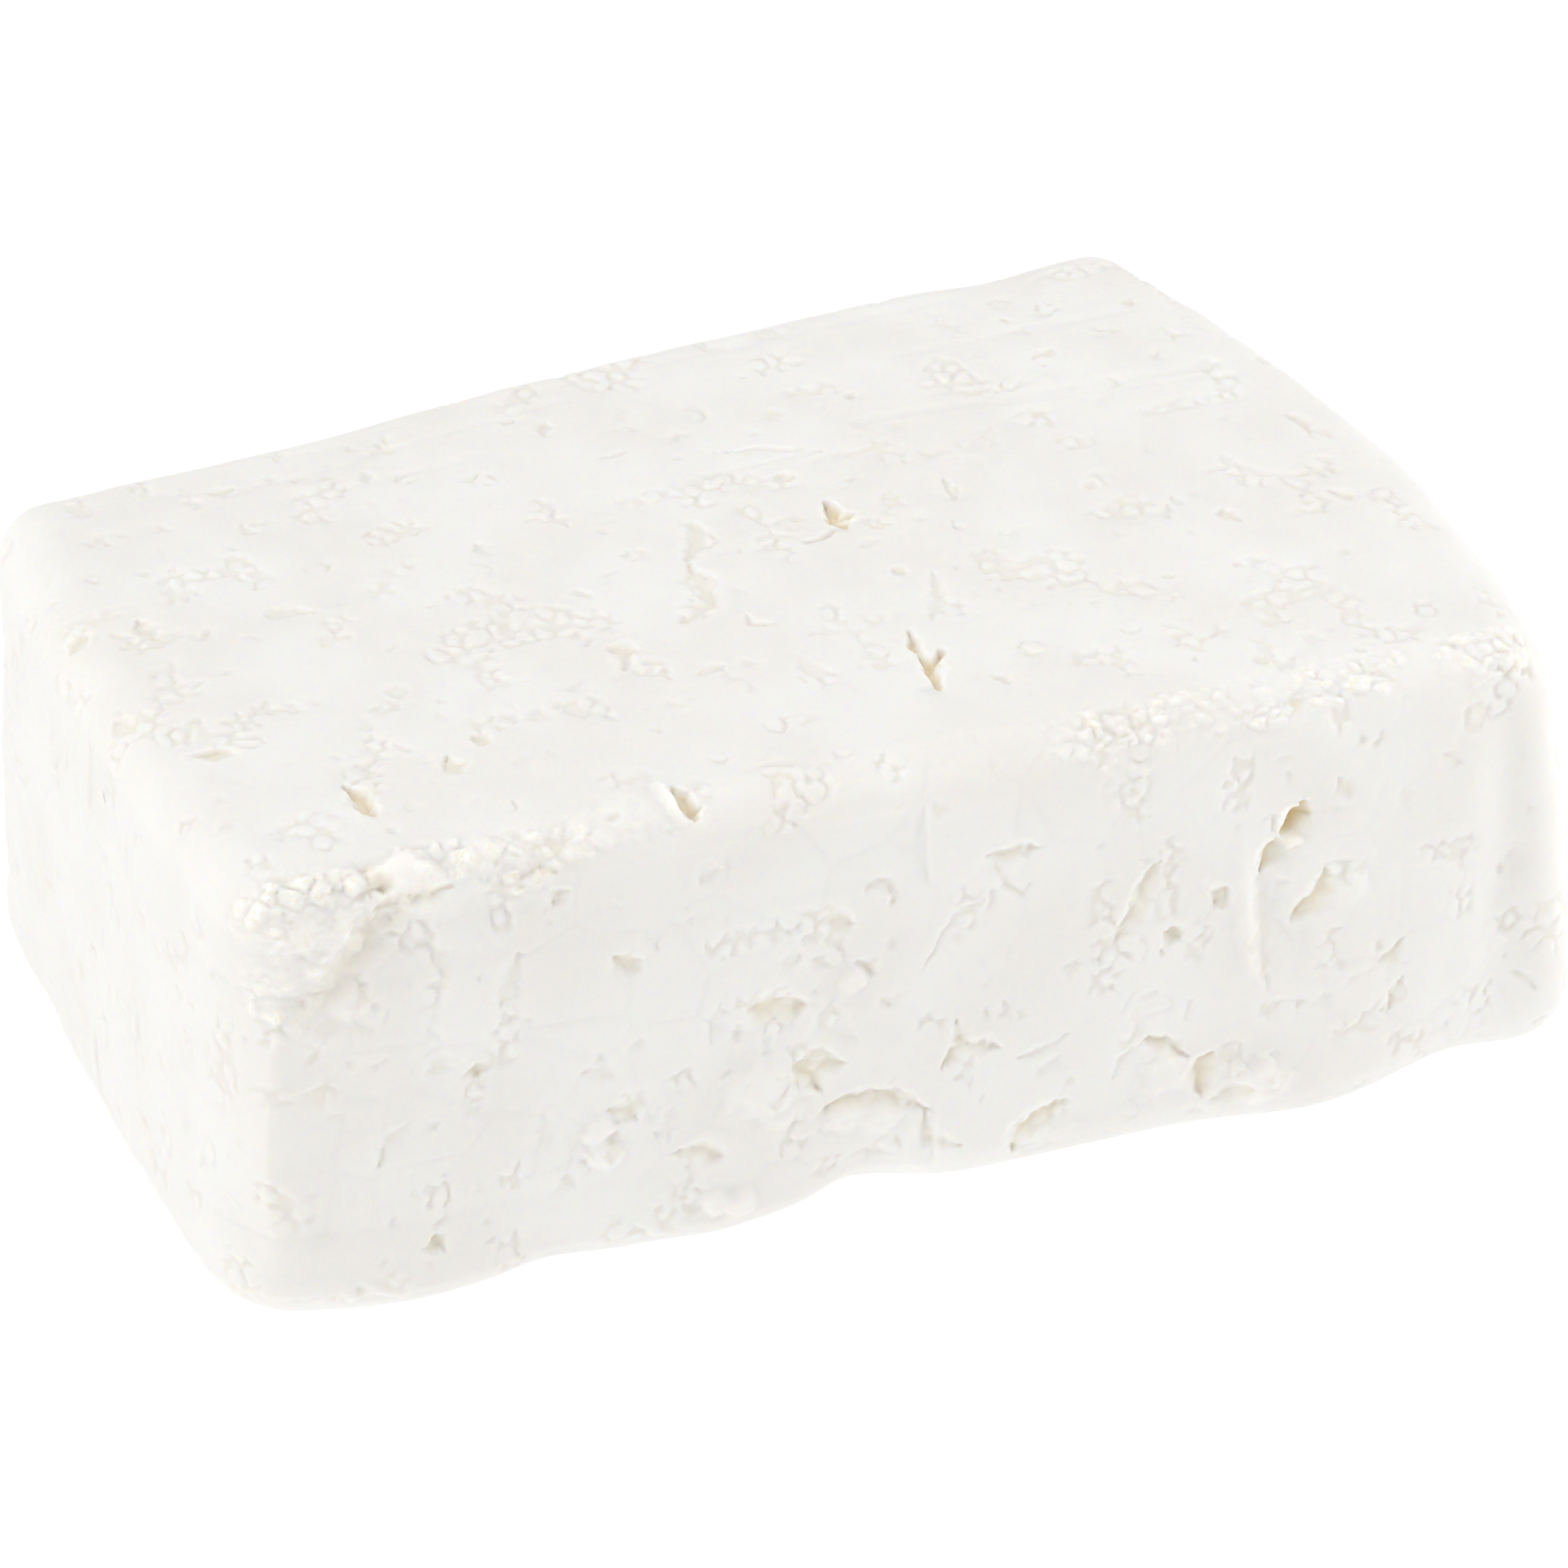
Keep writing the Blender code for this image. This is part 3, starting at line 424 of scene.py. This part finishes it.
def settled(points):
    """Shifts the corners, blended over the block, and bulges the sides by parabolas."""
    a, b, c = (points / HALF).T
    moved = points.copy()
    for (side, front), top in TOP_CORNER.items():
        near = (1.0 + side * a) / 2.0 * (1.0 + front * b) / 2.0
        high = (1.0 + c) / 2.0
        moved += near[:, None] * (high[:, None] * top + (1.0 - high)[:, None] * FOOT_CORNER[(side, front)])
    moved[:, 0] += np.clip(a, 0.0, 1.0) ** 2 * (1.0 - b * b) * RIGHT_BULGE
    moved[:, 0] -= np.clip(-a, 0.0, 1.0) ** 2 * (1.0 - b * b) * LEFT_BULGE
    moved[:, 1] -= np.clip(-b, 0.0, 1.0) ** 2 * (1.0 - a * a) * FRONT_BULGE
    moved[:, 1] += np.clip(b, 0.0, 1.0) ** 2 * (1.0 - a * a) * BACK_BULGE
    moved[:, 2] += (1.0 + c) / 2.0 * (1.0 - a * a) * (1.0 - b * b) * CROWN
    moved[:, 2] += HALF[2]
    return moved


def on_face(face, places):
    """Points of the cube of side 2 for places in millimetres on a squared face."""
    first, second, across, side = PLANE[face]
    places = np.array(places, float)
    cube = np.zeros((len(places), 3))
    cube[:, first] = places[:, 0] / HALF[first]
    cube[:, second] = places[:, 1] / HALF[second]
    cube[:, across] = side
    return cube


def plain_form(cube):
    """The settled block with its swellings, without waves or openings, and the way out at each point."""
    square, out = rounded(cube)
    points = settled(square)
    moved = points.copy()
    for _, face, place, reach, push in SWELLINGS:
        middle = settled(rounded(on_face(face, (place,)))[0])[0]
        near = np.exp(-((points - middle) ** 2).sum(axis=1) / reach ** 2)
        moved += near[:, None] * push
    moved[:, 2] = np.maximum(moved[:, 2], 0.0)
    return moved, out


def near_line(points, face, places, reach):
    """Finds the points within reach of a line on a face.

    Gives which they are, how far off each is, the step to it from the line, and how far along the
    line it lies, from -1 at the start to 1 at the end.
    """
    line = plain_form(on_face(face, places))[0]
    inside = ((points > line.min(axis=0) - reach) & (points < line.max(axis=0) + reach)).all(axis=1)
    which = np.flatnonzero(inside)
    near = points[which]
    lengths = np.linalg.norm(np.diff(line, axis=0), axis=1)
    away, along = np.full(len(which), np.inf), np.zeros(len(which))
    offset = np.zeros((len(which), 3))
    for i, (start, end) in enumerate(zip(line[:-1], line[1:])):
        run = end - start
        part = np.clip((near - start) @ run / max(run @ run, 1e-9), 0.0, 1.0)
        step = near - start - part[:, None] * run
        length = np.linalg.norm(step, axis=1)
        closer = length < away
        offset = np.where(closer[:, None], step, offset)
        along = np.where(closer, lengths[:i].sum() + part * lengths[i], along)
        away = np.minimum(away, length)
    return which, away, offset, 2.0 * along / max(lengths.sum(), 1e-9) - 1.0


def steep_way(face, turned):
    """The direction of an opening's steep side: up a side face and a little left, or left."""
    if face == TOP:
        return None
    return np.array((-0.95, 0.0, 0.3)) if turned == ASIDE else np.array((-0.6, 0.0, 0.8))


def carve(dug, points, grain, face, places, width, depth, turned=ABOVE):
    """Deepens an opening along a line: full near the line, nothing at the skin, steeper on one side.

    Its three values for each point are the depth, how far a lip leans, and how high the skin swells.
    The two limits of its wall are blended between the steep and the gentle side by the cosine of
    the angle between the steep way and the step from the line. The opening is narrower at its ends,
    reaches out along the seams between small curds, and has curds standing on its floor.
    """
    seam, _, value = grain
    which, away, offset, along = near_line(points, face, places, 3.0 * width)
    way = steep_way(face, turned)
    if way is None:
        low, high = TOP_SIDE
        over, swell, power = np.zeros(len(which)), 0.6, TOP_WALL
    else:
        cosine = offset @ way / np.maximum(away, 1e-6)
        blend = (1.0 + np.clip(cosine, -1.0, 1.0)) / 2.0
        low = GENTLE_SIDE[0] + blend * (STEEP_SIDE[0] - GENTLE_SIDE[0])
        high = GENTLE_SIDE[1] + blend * (STEEP_SIDE[1] - GENTLE_SIDE[1])
        over = swell = np.clip(cosine, 0.0, 1.0)
        power = GENTLE_WALL + blend * (STEEP_WALL - GENTLE_WALL)
    tongue = SEAM_REACH * (0.6 - smooth_step(seam[which], 0.0, 0.35))
    wide = width * (1.0 - END_TAPER * along ** 2) * (1.0 + CURD_CHANGE * value[which])
    way_up = (away / wide - tongue - low) / (high - low)
    wall = np.clip(way_up, 0.0, 1.0)
    curds = FLOOR_CURDS * smooth_step(seam[which], 0.05, 0.45) * (0.5 + 0.5 * value[which])
    hole = DEPTH_SHARE[face] * depth * (1.0 - curds) * (1.0 - wall) ** power
    deeper = hole > dug[which, 0]
    dug[which[deeper], 1] = (over * hole)[deeper]
    dug[which, 0] = np.maximum(dug[which, 0], hole)
    lip = swell * DEPTH_SHARE[face] * depth * np.exp(-((way_up - LIP_PLACE) / LIP_WIDTH) ** 2)
    dug[which, 2] = np.maximum(dug[which, 2], lip)


def random_openings(counts, lengths, widths, depths, random):
    """Openings drawn at random on the faces: short lines at any slant, a few of them on each face."""
    for face, count in counts.items():
        first, second = PLANE[face][:2]
        room = np.array([HALF[first], HALF[second]]) - EDGE_MARGIN
        for _ in range(count):
            middle = random.uniform(-room, room)
            slant = random.uniform(0.0, np.pi)
            half_line = random.uniform(*lengths) / 2 * np.array([np.cos(slant), SLANT_RISE * np.sin(slant)])
            bend = random.uniform(-LINE_BEND, LINE_BEND, 2) * np.abs(half_line).max()
            line = (middle - half_line, middle + bend, middle + half_line)
            yield face, line, random.uniform(*widths), random.uniform(*depths)


def broad_relief(plain, wandered, out, grain):
    """Waves, pressed curds, lumps, ridges and wide hollows; the painted shade of hollows, and the painted
    highlight of lumps and crests.

    A lump falls off from its middle by the distance to it, measured as for a rounded cube. A hollow
    falls off from its line evenly, a ridge by the square of the way left, which gives it a crest.
    """
    relief = sum(height * wave_field(plain, size, WAVE_SEED + i) for i, (size, height) in enumerate(WAVES))
    calm = 1.0 - PRESSED_FLAT * smooth_step(out[:, 2], *TOP_FADE)
    seam, _, value = curd_cells(plain, CURD_SIZE, CURD_SEED)
    relief += CURD_HEIGHT * value * smooth_step(seam, 0.0, CURD_ROUND)
    patch = patches(plain, SEAM_PATCH, CURD_SEED + 1)
    relief -= SEAM_DEPTH * patch * (1.0 - smooth_step(seam, 0.0, SEAM_WIDTH))
    relief *= calm
    sunk, raised = np.zeros((2, len(plain)))
    for _, face, place, radius, height in LUMPS:
        which, _, offset, _ = near_line(wandered, face, (place, place), 2.0 * radius)
        away = (np.abs(offset @ LUMP_AXES) ** LUMP_POWER).sum(axis=1) ** (1.0 / LUMP_POWER)
        away /= radius * (1.0 + 0.5 * CURD_CHANGE * grain[2][which])
        lump = height * (1.0 - smooth_step(away, *LUMP_EDGE))
        relief[which] += lump
        raised[which] = np.maximum(raised[which], lump)
    for _, face, places, width, depth, shade_share in HOLLOWS:
        which, away, _, along = near_line(plain, face, places, LINE_SPREAD * width)
        hollow = depth * (1.0 - HOLLOW_TAPER * along ** 2)
        hollow *= 1.0 - smooth_step(away / width, 0.0, LINE_SPREAD)
        hollow *= 1.0 + HOLLOW_CHANGE * wave_field(plain[which], HOLLOW_WAVE_SIZE, WAVE_SEED + 8)
        relief[which] -= hollow
        # A hollow takes painted shade by its share
        sunk[which] = np.maximum(sunk[which], shade_share * hollow)
    for _, face, places, width, height, highlight_share in RIDGES:
        which, away, _, along = near_line(plain, face, places, LINE_SPREAD * width)
        crest = np.clip(1.0 - (away / (LINE_SPREAD * width)) ** RIDGE_CREST, 0.0, 1.0) ** 2
        crest *= height * (1.0 - RIDGE_TAPER * along ** 2)
        relief[which] += crest
        # A crest counts as a lump by its share, for the painted highlight and to keep crumbs off it
        raised[which] = np.maximum(raised[which], highlight_share * crest)
    for start, end, width, depth in PRESS_LINES:
        which, away = near_line(plain, TOP, (start, end), 1.5 * width)[:2]
        relief[which] -= depth * (1.0 - smooth_step(away / width, 0.0, 1.5))
    return relief, sunk, raised


def rim_crumbs(plain, out):
    """The crumbled rim of the front and its shoulder: rounded crumbs that stand out or in.

    Each size of crumb is a layer of random cells. A cell is a dome, as high as its random value says,
    that falls off by a square near its seam, and the three layers add up.
    """
    high = out[:, 2] + RIM_WAVE * wave_field(plain, RIM_WAVE_SIZE, RIM_SEED + 7)
    near_rim = smooth_step(high, *RIM_UP) * smooth_step(-out[:, 1], *RIM_OUT)
    x = plain[:, 0]
    along = sum(smooth_step(x, start, start + RIM_FADE) * (1.0 - smooth_step(x, end - RIM_FADE, end))
                for start, end in RIM_STRETCHES)
    where = near_rim * along * patches(plain, RIM_PATCH, RIM_SEED)
    which, away = near_line(plain, FRONT, SHOULDER, SHOULDER_REACH)[:2]
    shoulder = SHOULDER_SHARE * (1.0 - smooth_step(away / SHOULDER_REACH, 0.3, 1.0))
    where[which] = np.maximum(where[which], shoulder)
    relief = np.zeros(len(plain))
    for i, (size, height) in enumerate(RIM_CRUMBS):
        seam, _, value = curd_cells(plain, size, RIM_SEED + 1 + i)
        dome = 1.0 - (1.0 - np.clip(seam / (CRUMB_ROUND * size), 0.0, 1.0)) ** 2
        relief += height * ((0.3 + 0.7 * value) * dome - RIM_SEAM * (1.0 - dome))
    return where * relief


def missing_curds(plain, grain):
    """Depth of the small openings that curds left which have come off whole, and of open corners.

    A curd is gone where its random value is among the highest, and leaves a bowl that ends at its
    seam. Both kinds come in patches.
    """
    patch = patches(plain, BOWL_PATCH, OPEN_SEED)
    depth = np.zeros(len(plain))
    for i, (size, share, deep) in enumerate(MISSING_CURDS):
        seam, _, value = curd_cells(plain / (GRAIN_STRETCH, 1.0, 1.0), size, OPEN_SEED + 2 + i)
        gone = value > 1.0 - 2.0 * share
        depth = np.maximum(depth, deep * gone * patch * smooth_step(seam, 0.0, 0.4 * size))
    open_corner = patches(plain, CORNER_PATCH, OPEN_SEED + 1)
    corner = 1.0 - smooth_step(grain[1], 0.3 * CORNER_RADIUS, CORNER_RADIUS)
    return np.maximum(depth, CORNER_DEPTH * open_corner * corner)


def cheese_skin(cube):
    """The finished skin for points of the cube; how hollow it is there, for the painted shade, where it
    takes a painted highlight, and how crumbly it is.

    The plain form is moved along the way out by the broad relief less the openings, and the lips
    over the openings of the sides lean up.
    """
    random = np.random.default_rng(PLACE_SEED)
    plain, out = plain_form(cube)
    wander = np.stack([sum(amount * wave_field(plain, size, WANDER_SEED + 3 * i + axis)
                           for i, (size, amount) in enumerate(WANDERS)) for axis in range(3)], axis=1)
    wandered = plain + wander
    grain = curd_cells(wandered / (GRAIN_STRETCH, 1.0, 1.0), GRAIN_SIZE, GRAIN_SEED)
    dug = np.zeros((len(plain), 3))
    for _, *tear in TEARS:
        carve(dug, wandered, grain, *tear)
    for face, rows in SMALL_OPENINGS.items():
        for x1, y1, x2, y2, width in rows:
            carve(dug, wandered, grain, face, ((x1, y1), (x2, y2)), width, SMALL_DEPTH[face] * width)
    for opening in random_openings(SMALL_PITS, PIT_LENGTH, PIT_WIDTH, PIT_DEPTH, random):
        carve(dug, wandered, grain, *opening)
    for opening in random_openings(LONG_TEARS, TEAR_LENGTH, TEAR_WIDTH, TEAR_DEPTH, random):
        carve(dug, wandered, grain, *opening)
    deepest = np.maximum(dug[:, 0], missing_curds(plain, grain))
    broad, sunk, raised = broad_relief(plain, wandered, out, grain)
    crumbs = rim_crumbs(plain, out) * (1.0 - smooth_step(raised, *SMOOTH_LUMP))
    relief = broad + crumbs - deepest + LIP_SWELL * dug[:, 2]
    # The face that it lies on stays flat, and the relief fades in up the round of the foot
    fade = smooth_step(out[:, 2], *FOOT_FADE)
    points = plain + (relief * fade)[:, None] * out
    points[:, 2] += LIP_LEAN * dug[:, 1] * fade
    points[:, 2] = np.maximum(points[:, 2], 0.0)
    # How hollow it is, for the painted shade in openings, hollows and gaps between crumbs, and where it
    # stands out, for the painted highlight on crumbs, lumps, crests and lips
    hollow = np.maximum.reduce([deepest, sunk, -CRUMB_SHADE * crumbs])
    crumbly = smooth_step(crumbs, *CRUMB_RISE)
    highlight = np.maximum.reduce([crumbly, smooth_step(raised, *LUMP_HIGHLIGHT), np.clip(dug[:, 2], 0.0, 1.0)])
    return points, {"hollow": hollow * fade, "highlight": highlight * fade, "crumbly": crumbly * fade}


def cube_sides(counts):
    """The six sides of a cube of side 2, each a grid of two parameters, welded along the edges.

    A point is known by its three whole steps along the cube, so points that two sides share are
    found by equal numbers.
    """
    keys, quads, start = [], [], 0
    for axis in range(3):
        first, second = (axis + 1) % 3, (axis + 2) % 3
        for side in (0, 1):
            u, v = np.meshgrid(np.arange(counts[first] + 1), np.arange(counts[second] + 1), indexing="ij")
            key = np.zeros(u.shape + (3,), int)
            key[..., first], key[..., second], key[..., axis] = u, v, side * counts[axis]
            index = start + np.arange(u.size).reshape(u.shape)
            corners = (index[:-1, :-1], index[1:, :-1], index[1:, 1:], index[:-1, 1:])
            quad = np.stack(corners if side else corners[::-1], axis=-1)
            keys.append(key.reshape(-1, 3))
            quads.append(quad.reshape(-1, 4))
            start += u.size
    keys, quads = np.concatenate(keys), np.concatenate(quads)
    spread = (keys[:, 0] * (counts[1] + 1) + keys[:, 1]) * (counts[2] + 1) + keys[:, 2]
    _, kept, back = np.unique(spread, return_index=True, return_inverse=True)
    return 2.0 * keys[kept] / np.array(counts) - 1.0, back.ravel()[quads]


def mesh_from(name, points, faces):
    """A mesh from arrays of points in millimetres and of faces with the same number of corners."""
    mesh = bpy.data.meshes.new(name)
    mesh.vertices.add(len(points))
    mesh.vertices.foreach_set("co", (points * MM).astype(np.float32).ravel())
    mesh.loops.add(faces.size)
    mesh.loops.foreach_set("vertex_index", faces.astype(np.int32).ravel())
    mesh.polygons.add(len(faces))
    mesh.polygons.foreach_set("loop_start", np.arange(0, faces.size, faces.shape[1], dtype=np.int32))
    mesh.update(calc_edges=True)
    return mesh


cube, quads = cube_sides(np.round(2.0 * HALF / CELL).astype(int))
skin, skin_values = cheese_skin(cube)
# The middle of the block's box stands over the origin
middle = np.append((skin[:, :2].min(axis=0) + skin[:, :2].max(axis=0)) / 2.0, 0.0)
fine_mesh = mesh_from("fine curd", skin - middle, quads)
for name, values in skin_values.items():
    fine_mesh.attributes.new(name, "FLOAT", "POINT").data.foreach_set("value", values.astype(np.float32))
fine = bpy.data.objects.new("fine curd", fine_mesh)
bpy.context.scene.collection.objects.link(fine)
thinned = fine.modifiers.new("thinned where smooth", "DECIMATE")
thinned.ratio = TRIANGLES / (2 * len(quads))
block_mesh = bpy.data.meshes.new_from_object(fine.evaluated_get(bpy.context.evaluated_depsgraph_get()))
bpy.data.objects.remove(fine)
block_mesh.shade_smooth()
block = bpy.data.objects.new("cheese_curd_block", block_mesh)
bpy.context.scene.collection.objects.link(block)

# Fresh cheese curd, cut and pressed: nearly white with a breath of cream. It is moist, so it has a
# soft sheen, and light goes about a millimetre into it. Openings and the gaps between crumbs are painted
# creamier than the skin, as painted shade, and lips, lumps, crests and crumbs that stand out are painted
# whiter, as a painted highlight.
# The skin's own two tones, and the white of the painted highlight
SKIN_CREAM, SKIN_WHITE, HIGHLIGHT_WHITE = "#EBE9E5", "#EDECE9", "#F5F4F1"
# The painted shade in openings: a cream for shallow ones and a deeper cream for the deepest
RECESS_SHADE, DEEP_SHADE = "#EBE4D4", "#EBD8AE"
# Sizes across of the blotches of wetter curd, of wet spots in the sheen, of grains and of soft swells
BLOTCH_SIZE, WET_SPOT_SIZE, GRANULE_SIZE, SWELL_SIZE = 8.0, 2.5, 0.35, 0.9
# How high grains stand out where the curd has crumbled, the part of that elsewhere, and the swells
GRANULE_HEIGHT, HELD_GRANULES, SWELL_HEIGHT = 0.15, 0.13, 0.05
# Depths between which an opening takes on the painted shade, and between which that painted shade turns
# deepest
SHALLOW, DEEP = (0.08, 0.5), (0.4, 1.0)
# The roughness of wet and of dry spots, and how far red, green and blue light goes into the curd
WET, DRY = 0.42, 0.62
LIGHT_REACH, LIGHT_SHARES = 0.8, (1.0, 0.75, 0.45)


def linear(colour):
    """The linear colour of an sRGB hex value."""
    parts = np.array([int(colour[i:i + 2], 16) for i in (1, 3, 5)]) / 255.0
    parts = np.where(parts <= 0.04045, parts / 12.92, ((parts + 0.055) / 1.055) ** 2.4)
    return (*parts.tolist(), 1.0)


def add_node(tree, kind, settings=None, inputs=None):
    """Adds a node, sets its settings, and sets or links its inputs, which are named or numbered."""
    node = tree.nodes.new(kind)
    for name, value in (settings or {}).items():
        setattr(node, name, value)
    for name, value in (inputs or {}).items():
        if isinstance(value, bpy.types.NodeSocket):
            tree.links.new(value, node.inputs[name])
        else:
            node.inputs[name].default_value = value
    return node


curd = bpy.data.materials.new("fresh_cheese_curd")
curd.use_nodes = True
tree = curd.node_tree
shader = tree.nodes["Principled BSDF"]
place = add_node(tree, "ShaderNodeTexCoord").outputs["Object"]
# How hollow the curd is, for the painted shade; where it stands out, for the painted highlight; and how
# crumbly it is
depth = add_node(tree, "ShaderNodeAttribute", {"attribute_name": "hollow"}).outputs["Fac"]
highlight_mask = add_node(tree, "ShaderNodeAttribute", {"attribute_name": "highlight"}).outputs["Fac"]
crumbly = add_node(tree, "ShaderNodeAttribute", {"attribute_name": "crumbly"}).outputs["Fac"]
# Blotches of wetter curd
blotches = add_node(tree, "ShaderNodeTexNoise", None,
                    {"Vector": place, "Scale": 1.0 / (BLOTCH_SIZE * MM), "Detail": 0.0})
blotch = add_node(tree, "ShaderNodeMapRange", None, {0: blotches.outputs["Fac"], 1: 0.35, 2: 0.65})
skin_colour = add_node(tree, "ShaderNodeMix", {"data_type": "RGBA"},
                       {0: blotch.outputs[0], 6: linear(SKIN_CREAM), 7: linear(SKIN_WHITE)})
# Painted highlight: whiter where lips, lumps, crests and crumbs stand out
highlit_colour = add_node(tree, "ShaderNodeMix", {"data_type": "RGBA"},
                      {0: highlight_mask, 6: skin_colour.outputs[2], 7: linear(HIGHLIGHT_WHITE)})
# Openings take a painted shade in cream, and the deepest ones take the most
shallow = add_node(tree, "ShaderNodeMapRange", None, {0: depth, 1: SHALLOW[0], 2: SHALLOW[1]})
deep = add_node(tree, "ShaderNodeMapRange", None, {0: depth, 1: DEEP[0], 2: DEEP[1]})
recessed = add_node(tree, "ShaderNodeMix", {"data_type": "RGBA"},
                    {0: shallow.outputs[0], 6: highlit_colour.outputs[2], 7: linear(RECESS_SHADE)})
coloured = add_node(tree, "ShaderNodeMix", {"data_type": "RGBA"},
                    {0: deep.outputs[0], 6: recessed.outputs[2], 7: linear(DEEP_SHADE)})
# The grain of the curd. Where the rim has crumbled, painted shade in cream lies between the grains
grains = add_node(tree, "ShaderNodeTexNoise", None,
                  {"Vector": place, "Scale": 1.0 / (GRANULE_SIZE * MM), "Detail": 1.0})
between = add_node(tree, "ShaderNodeMapRange", None, {0: grains.outputs["Fac"], 1: 0.5, 2: 0.36, 4: 0.9})
gaps = add_node(tree, "ShaderNodeMath", {"operation": "MULTIPLY"}, {0: between.outputs[0], 1: crumbly})
flecked = add_node(tree, "ShaderNodeMix", {"data_type": "RGBA"},
                   {0: gaps.outputs[0], 6: coloured.outputs[2], 7: linear(RECESS_SHADE)})
tree.links.new(flecked.outputs[2], shader.inputs["Base Color"])
# Wetter and drier spots
wetness = add_node(tree, "ShaderNodeTexNoise", None,
                   {"Vector": place, "Scale": 1.0 / (WET_SPOT_SIZE * MM), "Detail": 0.0})
gloss = add_node(tree, "ShaderNodeMapRange", None,
                 {0: wetness.outputs["Fac"], 1: 0.3, 2: 0.7, 3: WET, 4: DRY})
tree.links.new(gloss.outputs[0], shader.inputs["Roughness"])
shader.inputs["IOR"].default_value = 1.42
shader.inputs["Subsurface Weight"].default_value = 1.0
shader.inputs["Subsurface Radius"].default_value = LIGHT_SHARES
shader.inputs["Subsurface Scale"].default_value = LIGHT_REACH * MM
# The grains stand out a little, more where the rim has crumbled, over a soft unevenness
swells = add_node(tree, "ShaderNodeTexNoise", None,
                  {"Vector": place, "Scale": 1.0 / (SWELL_SIZE * MM), "Detail": 1.0})
loose = add_node(tree, "ShaderNodeMapRange", None, {0: crumbly, 3: HELD_GRANULES, 4: 1.0})
grained = add_node(tree, "ShaderNodeBump", None,
                   {"Strength": loose.outputs[0], "Distance": GRANULE_HEIGHT * MM,
                    "Height": grains.outputs["Fac"]})
uneven = add_node(tree, "ShaderNodeBump", None,
                  {"Strength": 1.0, "Distance": SWELL_HEIGHT * MM, "Height": swells.outputs["Fac"],
                   "Normal": grained.outputs["Normal"]})
tree.links.new(uneven.outputs["Normal"], shader.inputs["Normal"])
block.data.materials.append(curd)
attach(block, "root")
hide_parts("cheese_block")


# The studio: a sheet of white acrylic, lit from below, as the floor, an even white surround, a large
# soft light low on the left, which only grazes the front, one overhead, and two weak ones near the
# right end, of which one lights that end alone.

# In metres: the side of the sheet, and how far it lies below the cheese, so that the two don't touch
FLOOR_SIZE, FLOOR_DROP = 6.0, 0.00005
# The white of the floor and of the surround, and how brightly each of them shines
STUDIO_WHITE, FLOOR_LIGHT, SURROUND_LIGHT = "#FFFFFF", 1.085, 0.66
# The lights: name, where it stands, its width in metres and its power in watts
LIGHTS = (("key", (-1.02, -0.46, 0.42), 0.6, 2.8), ("top light", (-0.15, 0.10, 0.68), 0.6, 1.75),
          ("fill", (0.21, -0.11, 0.10), 0.10, 0.105), ("end light", (0.28, -0.055, 0.035), 0.06, 0.065))

floor_corners = np.array([(-1, -1, 0), (1, -1, 0), (1, 1, 0), (-1, 1, 0)]) * FLOOR_SIZE / 2 / MM
floor_mesh = mesh_from("floor", floor_corners, np.array([[0, 1, 2, 3]]))
floor = bpy.data.objects.new("floor", floor_mesh)
floor.location.z = -FLOOR_DROP
bpy.context.scene.collection.objects.link(floor)
acrylic = bpy.data.materials.new("lit_white_acrylic")
acrylic.use_nodes = True
tree = acrylic.node_tree
tree.nodes.remove(tree.nodes["Principled BSDF"])
glow = add_node(tree, "ShaderNodeEmission", None,
                {"Color": linear(STUDIO_WHITE), "Strength": FLOOR_LIGHT})
tree.links.new(glow.outputs["Emission"], tree.nodes["Material Output"].inputs["Surface"])
floor.data.materials.append(acrylic)

world = bpy.data.worlds.new("white studio")
bpy.context.scene.world = world
world.use_nodes = True
world.node_tree.nodes["Background"].inputs["Color"].default_value = linear(STUDIO_WHITE)
world.node_tree.nodes["Background"].inputs["Strength"].default_value = SURROUND_LIGHT

for name, stand, width, power in LIGHTS:
    light_data = bpy.data.lights.new(name, "AREA")
    light_data.size = width
    light_data.energy = power
    light = bpy.data.objects.new(name, light_data)
    light.location = stand
    light.visible_camera = False
    light.rotation_euler = (-Vector(stand)).to_track_quat("-Z", "Y").to_euler()
    bpy.context.scene.collection.objects.link(light)
bpy.context.scene.view_settings.view_transform = "Standard"

# The camera: 23.5 degrees left of the front and 30.7 above it, with a long lens
AZIMUTH, ELEVATION = np.radians(-23.491), np.radians(30.743)
LENS, DISTANCE = 149.07, 441.6
# It stands off from the squared block's middle, and aims this far right of it and above it
AIM_RIGHT, AIM_UP = 2.68, -0.73
back = np.array([np.sin(AZIMUTH) * np.cos(ELEVATION), -np.cos(AZIMUTH) * np.cos(ELEVATION),
                 np.sin(ELEVATION)])
right = np.array([np.cos(AZIMUTH), np.sin(AZIMUTH), 0.0])
up = np.cross(back, right)
target = np.array([0.0, 0.0, HALF[2]]) - middle
camera_data = bpy.data.cameras.new("camera")
camera_data.lens = LENS
camera_data.clip_start = 0.01
camera = bpy.data.objects.new("camera", camera_data)
camera.location = Vector((target + DISTANCE * back) * MM)
aim = Vector((target + AIM_RIGHT * right + AIM_UP * up) * MM)
camera.rotation_euler = (aim - camera.location).to_track_quat("-Z", "Y").to_euler()
bpy.context.scene.collection.objects.link(camera)
bpy.context.scene.camera = camera
